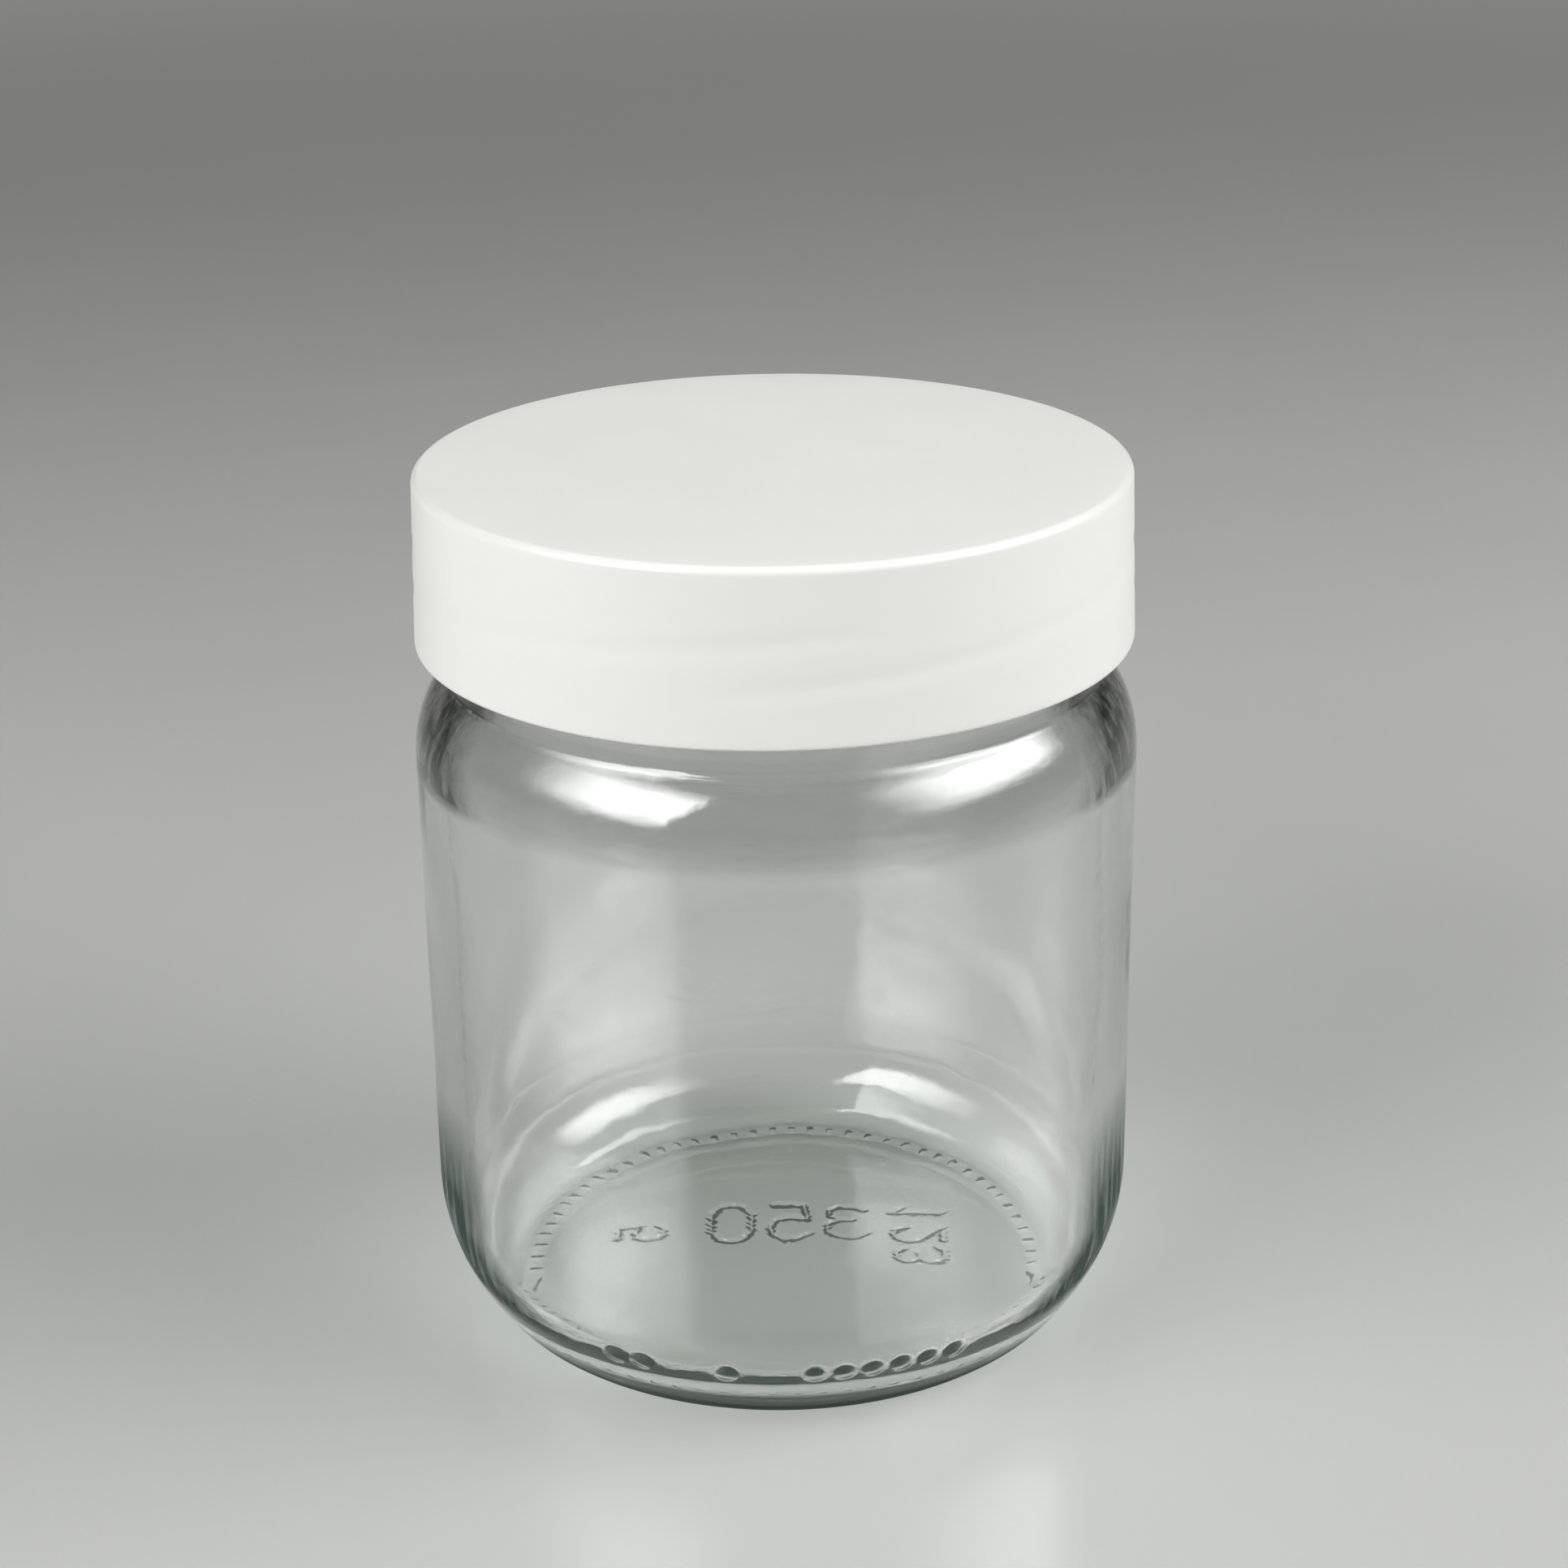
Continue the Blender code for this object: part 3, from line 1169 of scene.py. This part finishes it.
@dataclass
class GlassJar:
    """The glass jar: one closed surface, outside and inside.

    Attributes:
        sizes: the jar's sizes.
        steps: how finely its section is cut.
        fine: points round the axis where the mould's marks are.
        coarse: points round the axis elsewhere.
        pole_rings: radii of the rings next to the underside's pole.
        middle_rings: first radius, end and step of the rings round these.
        number_rings: the same further out, where a ring has more points for the numbers.
        edge_rings: radius of the first ring outside the numbers, and how many there are.
        ring_gap: angle left free between the hollow's last ring and its edge.
        foot_gap: angle left free between the foot's last ring and the heel.
        dots_span: angles on the heel's arc between which its dots are.
        plain_from: angle on the heel's arc from which the rings have fewer points.
        floor_r: radius of the floor's last ring.
        numbers: the plain numbers on the underside.
        ticks: the ticks of the bearing ring.
        dots: the dots on the heel.
        thread: the threads on the neck.
        outer_waves: the waves of the outside.
        inner_waves: the waves of the inside.
        glass: the finish.
    """

    sizes: JarSizes = JarSizes()
    steps: JarSteps = JarSteps()
    fine: int = 576
    coarse: int = 288
    pole_rings: tuple[float, float] = (0.8, 1.4)
    middle_rings: tuple[float, float, float] = (2.0, 8.9, 0.3)
    number_rings: tuple[float, float, float] = (9.2, 21.9, 0.32)
    edge_rings: tuple[float, int] = (22.6, 8)
    ring_gap: float = 0.5
    foot_gap: float = 4.0
    dots_span: tuple[float, float] = (-25.0, -13.0)
    plain_from: float = -11.0
    floor_r: float = 0.9
    numbers: tuple[MouldNumber, ...] = (
        MouldNumber(text="350", centre=(0.7, 5.6), height=8.0),
        MouldNumber(text="123", centre=(16.6, 3.0), height=6.0, turn=90.0),
        MouldNumber(text="5", centre=(-17.5, 3.6), height=5.6, turn=90.0),
    )
    ticks: BearingTicks = BearingTicks()
    dots: HeelDots = HeelDots()
    thread: Thread = Thread(rise=1.0, width=2.6, low=88.0, high=94.3, phase=4.7)
    outer_waves: BlownWaves = BlownWaves(depth=0.015, length=31.0, lobes=5)
    inner_waves: BlownWaves = BlownWaves(depth=0.05, length=23.0, lobes=7)
    glass: ContainerGlass = ContainerGlass()

    def shoulder(self, radius: float, upright_r: float, fillet: float, step: float) -> np.ndarray:
        """The shoulder's arc and the fillet that joins it to an upright, bottom to top.

        Args:
            radius: the arc's radius.
            upright_r: radius of the upright over it, the neck's or the bore's.
            fillet: radius of the fillet.
            step: longest distance between two points on the arc.

        Returns:
            An array of radius and height, one row for each point.
        """
        s = self.sizes
        centre_r = s.body_r - s.shoulder_radius
        turn = math.acos((s.neck_r - centre_r) / s.shoulder_radius)
        centre_z = s.height - s.neck_height - s.shoulder_radius * math.sin(turn)
        meet = tangent_meeting(radius, centre_r, upright_r, fillet)
        fillet_z = centre_z + (radius + fillet) * math.sin(math.radians(meet))
        return joined(
            arc((centre_r, centre_z), radius, 0, meet, step),
            arc((upright_r + fillet, fillet_z), fillet, meet + 180, 180, step / 2),
        )

    def heel(self) -> tuple[float, tuple[float, float]]:
        """Angle where the foot's arc meets the heel's, and the centre of the heel's arc.

        Returns:
            The angle in degrees, and the centre as radius and height.
        """
        s = self.sizes
        heel_r, between = s.body_r - s.heel_radius, s.heel_radius - s.foot_radius
        heel_z = s.foot_radius + math.sqrt(between**2 - (s.foot_r - heel_r) ** 2)
        meet = math.degrees(math.atan2(s.foot_radius - heel_z, s.foot_r - heel_r))
        return meet, (heel_r, heel_z)

    def hollow(self) -> tuple[float, float]:
        """Radius of the hollow underside's arc, and the angle that the ring's inner edge turns.

        The hollow's arc is centred on the axis and touches the edge's arc from outside.

        Returns:
            The radius, and the angle in degrees.
        """
        s = self.sizes
        ring_r = s.foot_r - s.foot_width
        reach = (ring_r**2 + s.pushup**2) / (2 * s.pushup)
        return reach - s.foot_inner_radius, math.degrees(math.asin(ring_r / reach))

    def underside(self) -> list[Band]:
        """The hollow underside, one shallow arc up to the axis, with its numbers.

        Returns:
            Its bands, from the pole outwards.
        """
        s = self.sizes
        radius, turn = self.hollow()
        first, count = self.edge_rings
        edge = np.linspace(first, radius * math.sin(math.radians(turn)), count)
        middle = np.concatenate([self.pole_rings, np.arange(*self.middle_rings)])
        outer = np.concatenate([np.arange(*self.number_rings), edge])
        marks = all_of(self.ticks, *self.numbers)
        return [
            Band(np.stack([r, s.pushup - radius + np.sqrt(radius**2 - r**2)], 1), points, marks)
            for r, points in ((middle, self.coarse), (outer, self.fine))
        ]

    def foot(self) -> Band:
        """The bearing ring with its ticks, between its inner edge and the foot's arc.

        Returns:
            The band, from inside outwards.
        """
        s, step = self.sizes, self.steps
        ring_r = s.foot_r - s.foot_width
        meet, _ = self.heel()
        _, turn = self.hollow()
        inner_edge = (ring_r, s.foot_inner_radius)
        start = 270 - turn + self.ring_gap
        path = joined(
            arc(inner_edge, s.foot_inner_radius, start, 270, step.ring),
            straight((ring_r, 0), (s.foot_r, 0), step.ring),
            arc((s.foot_r, s.foot_radius), s.foot_radius, -90, meet - self.foot_gap, step.foot),
        )
        return Band(path, self.fine, self.ticks)

    def marked_heel(self) -> Band:
        """The lower heel, with its row of dots.

        Returns:
            The band, bottom to top.
        """
        radius, step = self.sizes.heel_radius, self.steps
        meet, centre = self.heel()
        low, high = self.dots_span
        path = joined(
            arc(centre, radius, meet, low, step.heel), arc(centre, radius, low, high, step.dots)
        )
        return Band(path, self.fine, self.dots)

    def outside(self) -> list[Band]:
        """The upper heel, the wall, the shoulder, the neck with its threads, and the lip.

        Returns:
            Their bands, bottom to top.
        """
        s, step = self.sizes, self.steps
        _, centre = self.heel()
        shoulder = self.shoulder(s.shoulder_radius, s.neck_r, s.neck_fillet, step.shoulder)
        bead_radius, bead_turn = bulge(s.bead_height, s.bead_rise)
        bead_z, lip_z = s.height - s.bead_below_rim, s.height - s.lip
        bead = (s.neck_r + s.bead_rise - bead_radius, bead_z)
        lower = joined(
            arc(centre, s.heel_radius, self.plain_from, 0, step.heel),
            straight((s.body_r, centre[1]), shoulder[0], step.wall),
            shoulder,
            straight(shoulder[-1], (s.neck_r, bead_z - s.bead_height / 2), step.neck),
            arc(bead, bead_radius, -bead_turn, bead_turn, step.bead),
        )
        neck = straight((s.neck_r, bead_z + s.bead_height / 2), (s.neck_r, lip_z), step.thread)
        lip = joined(
            arc((s.neck_r - s.lip, lip_z), s.lip, 0, 90, step.thread),
            arc((s.bore_r + s.lip, lip_z), s.lip, 90, 180, step.thread),
        )
        return [
            Band(lower, self.coarse, self.outer_waves),
            Band(neck[1:], self.coarse, self.thread),
            Band(lip[1:], self.coarse),
        ]

    def inside(self) -> Band:
        """The bore, the inner shoulder, the wall, the round inner heel and the floor, with waves.

        Returns:
            The band, from the lip to the floor's middle.
        """
        s, step = self.sizes, self.steps
        inner_radius = s.shoulder_radius - s.wall
        shoulder = self.shoulder(inner_radius, s.bore_r, s.bore_fillet, step.inner_shoulder)[::-1]
        floor_z = s.pushup + s.base
        corner = (s.body_r - s.wall - s.inside_heel, floor_z + s.inside_heel)
        path = joined(
            straight((s.bore_r, s.height - s.lip), shoulder[0], step.bore)[1:],
            shoulder,
            straight(shoulder[-1], (corner[0] + s.inside_heel, corner[1]), step.inner_wall),
            arc(corner, s.inside_heel, 0, -90, step.inner_heel),
            straight((corner[0], floor_z), (self.floor_r, floor_z), step.floor),
        )
        return Band(path, self.coarse, self.inner_waves, outer=0.0)

    def build(self) -> bpy.types.Object:
        """Makes the jar in place of the CAD node.

        Returns:
            The piece.
        """
        s = self.sizes
        bands = [*self.underside(), self.foot(), self.marked_heel(), *self.outside(), self.inside()]
        mesh = turned_mesh("jar_glass", bands, s.pushup, s.pushup + s.base)
        return piece(mesh, self.glass.material(), Body.JAR, "glass_jar")


@dataclass
class SealLiner:
    """The foam wad under the lid's top, with the groove that the jar's lip has pressed into it.

    Attributes:
        radius: its radius.
        bottom: height of its underside.
        top: height of its upper side.
        edge: how far its cut edge is rounded.
        groove: inner and outer radius of the groove.
        groove_depth: depth of the groove.
        groove_flank: width of its slopes.
        flat_rings: first and last radius of the underside's rings inside the groove, and their count.
        groove_rings: radius of the first ring at the groove, and the step from there on.
        top_step: longest distance between two rings of the upper side.
        edge_step: longest distance between two points round the cut edge.
        count: points round the axis.
        foam: the finish.
    """

    radius: float = 37.63
    bottom: float = 97.1
    top: float = 98.1
    edge: float = 0.15
    groove: tuple[float, float] = (33.6, 36.8)
    groove_depth: float = 0.18
    groove_flank: float = 0.5
    flat_rings: tuple[float, float, int] = (2.0, 33.0, 12)
    groove_rings: tuple[float, float] = (33.4, 0.25)
    top_step: float = 5.0
    edge_step: float = 0.08
    count: int = 240
    foam: FoamedPolyethylene = FoamedPolyethylene()

    def pressed(self, place: np.ndarray) -> np.ndarray:
        """The groove: minus its depth between its two radii, eased over its slopes.

        Args:
            place: places of the points, with X, Y and Z last.

        Returns:
            The height at each point.
        """
        radius = radius_of(place)
        low, high = self.groove
        within = smooth((radius - low) / self.groove_flank) * smooth((high - radius) / self.groove_flank)
        return -self.groove_depth * within

    def build(self) -> bpy.types.Object:
        """Makes the wad in place of the CAD node.

        Returns:
            The piece.
        """
        edge_r, step = self.radius - self.edge, self.edge_step
        first, apart = self.groove_rings
        radii = np.concatenate([np.linspace(*self.flat_rings), np.arange(first, edge_r, apart)])
        under = np.stack([radii, np.full(len(radii), self.bottom)], 1)
        side = joined(
            arc((edge_r, self.bottom + self.edge), self.edge, -90, 0, step),
            arc((edge_r, self.top - self.edge), self.edge, 0, 90, step),
            straight((edge_r, self.top), (self.flat_rings[0], self.top), self.top_step),
        )
        bands = [Band(under, self.count, self.pressed), Band(side, self.count)]
        mesh = turned_mesh("liner_wad", bands, self.bottom, self.top)
        return piece(mesh, self.foam.material(), Body.LINER, "seal_liner")


@dataclass(frozen=True)
class LidSizes:
    """Sizes of the lid, the same as in the part's source.

    Attributes:
        top: height of its top.
        rim: height of its rim.
        rim_outer_r: outer radius of the skirt at the rim.
        draft: slope of the skirt, in degrees.
        wall: thickness of the skirt.
        underside: height of the top's underside.
        edge: radius of the top's rounded edge.
        rim_edge: radius of the rim's two edges.
        corner: radius of the corner between the underside and the skirt.
        retainer_z: height of the middle of the bead that keeps the wad in.
        retainer_rise: how far that bead stands out.
        retainer_height: height of that bead along the skirt.
    """

    top: float = 100.0
    rim: float = 81.0
    rim_outer_r: float = 40.0
    draft: float = 1.9
    wall: float = 1.5
    underside: float = 98.4
    edge: float = 0.9
    rim_edge: float = 0.4
    corner: float = 0.5
    retainer_z: float = 96.2
    retainer_rise: float = 0.6
    retainer_height: float = 1.0


@dataclass(frozen=True)
class LidSteps:
    """How finely the lid's section is cut: the longest distance between two of its points.

    Attributes:
        flat: along the top and its underside.
        inner: on the inner corner and the bead that keeps the wad in.
        thread: down the inside of the skirt, where the threads are.
        outer: round the rim and on the top's edge.
        skirt: up the outside of the skirt.
    """

    flat: float = 3.0
    inner: float = 0.15
    thread: float = 0.42
    outer: float = 0.12
    skirt: float = 0.55


@dataclass
class ScrewLid:
    """The moulded screw lid, with its inside threads and the sink marks that they leave outside.

    Attributes:
        sizes: the lid's sizes.
        steps: how finely its section is cut.
        first_r: radius of the ring next to each pole.
        count: points round the axis.
        thread: the threads inside the skirt.
        sink: the shallow marks on the skirt over the threads.
        dish: how far the middle of the top has sunk.
        dish_r: radius where the sinking starts.
        plastic: the finish.
    """

    sizes: LidSizes = LidSizes()
    steps: LidSteps = LidSteps()
    first_r: float = 1.5
    count: int = 360
    thread: Thread = Thread(rise=1.0, width=2.4, low=86.2, high=93.4, phase=2.2)
    sink: Thread = Thread(rise=-0.08, width=3.4, low=86.2, high=93.4, phase=2.2, fade=20.0)
    dish: float = 0.08
    dish_r: float = 37.0
    plastic: MouldedPolypropylene = MouldedPolypropylene()

    def outer_r(self, z: float) -> float:
        """Radius of the skirt's outer face, which narrows upwards by the draft."""
        s = self.sizes
        return s.rim_outer_r - (z - s.rim) * math.tan(math.radians(s.draft))

    def sunk_top(self, place: np.ndarray) -> np.ndarray:
        """Minus the dish at the middle, easing to zero at the edge."""
        return -self.dish * smooth(1 - radius_of(place) / self.dish_r)

    def underside(self) -> np.ndarray:
        """From the first ring under the top to the foot of the bead that keeps the wad in.

        Returns:
            An array of radius and height, one row for each point.
        """
        s, step = self.sizes, self.steps
        corner_z = s.underside - s.corner
        corner = (self.outer_r(corner_z) - s.wall - s.corner, corner_z)
        radius, turn = bulge(s.retainer_height, s.retainer_rise)
        retainer = (self.outer_r(s.retainer_z) - s.wall - s.retainer_rise + radius, s.retainer_z)
        return joined(
            straight((self.first_r, s.underside), (corner[0], s.underside), step.flat),
            arc(corner, s.corner, 90, 0, step.inner),
            arc(retainer, radius, 180 - turn, 180 + turn, step.inner),
        )

    def build(self) -> bpy.types.Object:
        """Makes the lid in place of the CAD node.

        Returns:
            The piece.
        """
        s, step = self.sizes, self.steps
        rim_z, edge_z = s.rim + s.rim_edge, s.top - s.edge
        inner_r, outer_r = self.outer_r(rim_z) - s.wall, self.outer_r(rim_z)
        edge_r = self.outer_r(edge_z)
        roof = self.underside()
        rim = joined(
            arc((inner_r + s.rim_edge, rim_z), s.rim_edge, 180, 270, step.outer),
            arc((outer_r - s.rim_edge, rim_z), s.rim_edge, 270, 360, step.outer),
        )
        top = joined(
            arc((edge_r - s.edge, edge_z), s.edge, 0, 90, step.outer),
            straight((edge_r - s.edge, s.top), (self.first_r, s.top), step.flat),
        )
        bands = [
            Band(roof, self.count),
            Band(straight(roof[-1], (inner_r, rim_z), step.thread)[1:], self.count, self.thread),
            Band(rim[1:], self.count),
            Band(straight((outer_r, rim_z), (edge_r, edge_z), step.skirt)[1:], self.count, self.sink),
            Band(top[1:], self.count, self.sunk_top),
        ]
        mesh = turned_mesh("screw_lid", bands, s.underside, s.top - self.dish)
        return piece(mesh, self.plastic.material(), Body.LID, "lid")


@dataclass(frozen=True)
class SoftBox:
    """A soft box: a flat lamp that faces the jar, brightest in the middle of its face.

    Attributes:
        side: which side of the camera it stands on.
        azimuth: direction of its middle, in degrees away from the camera's own direction.
        elevation: height of its middle over the jar's foot, in degrees.
        width: its width.
        radiance: how bright its face is at its brightest, where 1 is white.
        inner_fade: share of the width over which it dims to its edge next to the camera.
        outer_fade: share of the width over which it dims to its far edge.
        distance: distance of its middle from the jar.
        height: its height.
        low_fade: share of the height over which it dims to its lower edge.
        high_fade: share of the height over which it dims to its upper edge.
    """

    side: Side
    azimuth: float
    elevation: float
    width: float
    radiance: float
    inner_fade: float
    outer_fade: float
    distance: float = 1000.0
    height: float = 760.0
    low_fade: float = 0.35
    high_fade: float = 0.3

    def face(self, tree: Tree) -> None:
        """Gives the lamp its graded face: the product of one smooth step in from each edge.

        Args:
            tree: the lamp's node tree.
        """
        tree.nodes.clear()
        place = add_node(tree, "NewGeometry", output="Parametric")
        parts = add_node(tree, "SeparateXYZ", (place,)).node.outputs
        left, right = (
            (self.outer_fade, self.inner_fade)
            if self.side is Side.LEFT
            else (self.inner_fade, self.outer_fade)
        )
        glow = 1.0
        for share, edge, full in (
            (parts["X"], 0.0, left),
            (parts["X"], 1.0, 1 - right),
            (parts["Y"], 0.0, self.low_fade),
            (parts["Y"], 1.0, 1 - self.high_fade),
        ):
            step = add_node(tree, "MapRange", (share, edge, full), interpolation_type="SMOOTHSTEP")
            glow = add_node(tree, "Math", (glow, step), operation="MULTIPLY")
        light = add_node(tree, "Emission", {"Strength": glow})
        add_node(tree, "OutputLight", {"Surface": light})

    def build(self) -> bpy.types.Object:
        """Makes the lamp. Its power is radiance times pi times its area.

        Returns:
            The lamp's object.
        """
        around, up = math.radians(self.azimuth * self.side.value), math.radians(self.elevation)
        towards = Vector(
            (math.sin(around) * math.cos(up), -math.cos(around) * math.cos(up), math.sin(up))
        )
        lamp = bpy.data.lights.new(f"soft_box_{self.side.name.lower()}", "AREA")
        lamp.shape = "RECTANGLE"
        lamp.size, lamp.size_y = metres(self.width, self.height)
        lamp.energy = self.radiance * math.pi * lamp.size * lamp.size_y
        lamp.use_nodes = True
        self.face(lamp.node_tree)
        made = bpy.data.objects.new(lamp.name, lamp)
        made.location = towards * self.distance * MM
        made.rotation_euler = towards.to_track_quat("Z", "Y").to_euler()
        made.visible_camera = False
        bpy.context.scene.collection.objects.link(made)
        log.info("%s: radiance %.1f", made.name, self.radiance)
        return made


@dataclass
class Studio:
    """The table, the room's light, the soft boxes and the camera.

    Attributes:
        table: finish of the table top.
        table_r: radius of the table top.
        table_first_r: radius of its innermost ring of points.
        table_rings: rings of points on it.
        table_points: points on each ring.
        horizon: sRGB colour of the room at the horizon.
        gloom: sRGB colour of the room a little over the horizon.
        gloom_rise: heights on a unit sphere where the room leaves the first colour and reaches this.
        zenith: sRGB colour of the room overhead.
        zenith_rise: heights where it leaves the second colour and reaches this.
        boxes: the soft boxes.
        camera_place: the camera's place.
        pitch: how far the camera looks down, in degrees.
        yaw: how far it looks towards +X, in degrees.
        roll: how far it is rolled, in degrees.
        lens: focal length.
        sensor: width of the sensor.
    """

    table: TableTop = TableTop()
    table_r: float = 4000.0
    table_first_r: float = 80.0
    table_rings: int = 40
    table_points: int = 128
    horizon: str = "8C8C8A"
    gloom: str = "50504E"
    gloom_rise: tuple[float, float] = (0.0, 0.1)
    zenith: str = "7A7A78"
    zenith_rise: tuple[float, float] = (0.35, 0.9)
    boxes: tuple[SoftBox, ...] = (
        SoftBox(
            side=Side.LEFT,
            azimuth=62.0,
            elevation=35.0,
            width=1060.0,
            radiance=8.3,
            inner_fade=0.04,
            outer_fade=0.6,
        ),
        SoftBox(
            side=Side.RIGHT,
            azimuth=74.0,
            elevation=38.0,
            width=1350.0,
            radiance=8.5,
            inner_fade=0.55,
            outer_fade=0.3,
        ),
    )
    camera_place: tuple[float, float, float] = (0.0, -323.4, 189.93)
    pitch: float = 21.61
    yaw: float = 0.143
    roll: float = -0.787
    lens: float = 70.06
    sensor: float = 36.0

    def build_table(self) -> bpy.types.Object:
        """The table top: a disc of rings, each point (r cos a, r sin a, 0), that faces up.

        Returns:
            The table top's object.
        """
        rings, points = self.table_rings, self.table_points
        radii = np.geomspace(self.table_first_r, self.table_r, rings)
        angles = 2 * np.pi * np.arange(points) / points
        grid = np.zeros((rings, points, 3))
        grid[..., 0] = radii[:, None] * np.cos(angles)
        grid[..., 1] = radii[:, None] * np.sin(angles)
        faces = band_faces(0, rings, points)[:, ::-1].tolist() + [list(range(points))]
        mesh = bpy.data.meshes.new("table_top")
        mesh.from_pydata((grid.reshape(-1, 3) * MM).tolist(), [], faces)
        mesh.materials.append(self.table.material(linear(self.horizon)))
        made = bpy.data.objects.new("table_top", mesh)
        bpy.context.scene.collection.objects.link(made)
        return made

    def build_room(self) -> None:
        """The room's own light: grey at the horizon, darker over it and paler overhead."""
        world = bpy.data.worlds.new("room")
        bpy.context.scene.world = world
        world.use_nodes = True
        tree = world.node_tree
        tree.nodes.clear()
        direction = add_node(tree, "TexCoord", output="Generated")
        height = add_node(tree, "SeparateXYZ", (direction,), "Z")
        tone = linear(self.horizon)
        for rise, colour in ((self.gloom_rise, self.gloom), (self.zenith_rise, self.zenith)):
            share = add_node(tree, "MapRange", (height, *rise))
            mix = {SHARE: share, COLOUR_A: tone, COLOUR_B: linear(colour)}
            tone = add_node(tree, "Mix", mix, MIXED_COLOUR, data_type="RGBA")
        light = add_node(tree, "Background", {"Color": tone})
        add_node(tree, "OutputWorld", {"Surface": light})

    def build_camera(self) -> bpy.types.Object:
        """The camera, turned by yaw, then pitch, then roll.

        Returns:
            The camera's object.
        """
        pitch, yaw, roll = (math.radians(a) for a in (self.pitch, self.yaw, self.roll))
        ahead = Vector(
            (math.sin(yaw) * math.cos(pitch), math.cos(yaw) * math.cos(pitch), -math.sin(pitch))
        )
        level = Vector((math.cos(yaw), -math.sin(yaw), 0))
        upright = level.cross(ahead)
        right = level * math.cos(roll) + upright * math.sin(roll)
        up = upright * math.cos(roll) - level * math.sin(roll)
        optics = bpy.data.cameras.new("camera")
        optics.lens = self.lens
        optics.sensor_width = self.sensor
        made = bpy.data.objects.new("camera", optics)
        turn = Matrix((right, up, -ahead)).transposed().to_4x4()
        made.matrix_world = Matrix.Translation(Vector(self.camera_place) * MM) @ turn
        bpy.context.scene.collection.objects.link(made)
        bpy.context.scene.camera = made
        return made

    def build(self) -> None:
        """Sets up the whole studio."""
        bpy.context.scene.view_settings.view_transform = "Standard"
        self.build_table()
        self.build_room()
        for box in self.boxes:
            box.build()
        self.build_camera()


def main() -> None:
    """Builds the studio and the three pieces."""
    logging.basicConfig(level=logging.INFO, format="%(message)s")
    Studio().build()
    for maker in (GlassJar(), SealLiner(), ScrewLid()):
        maker.build()


if __name__ == "__main__":
    main()
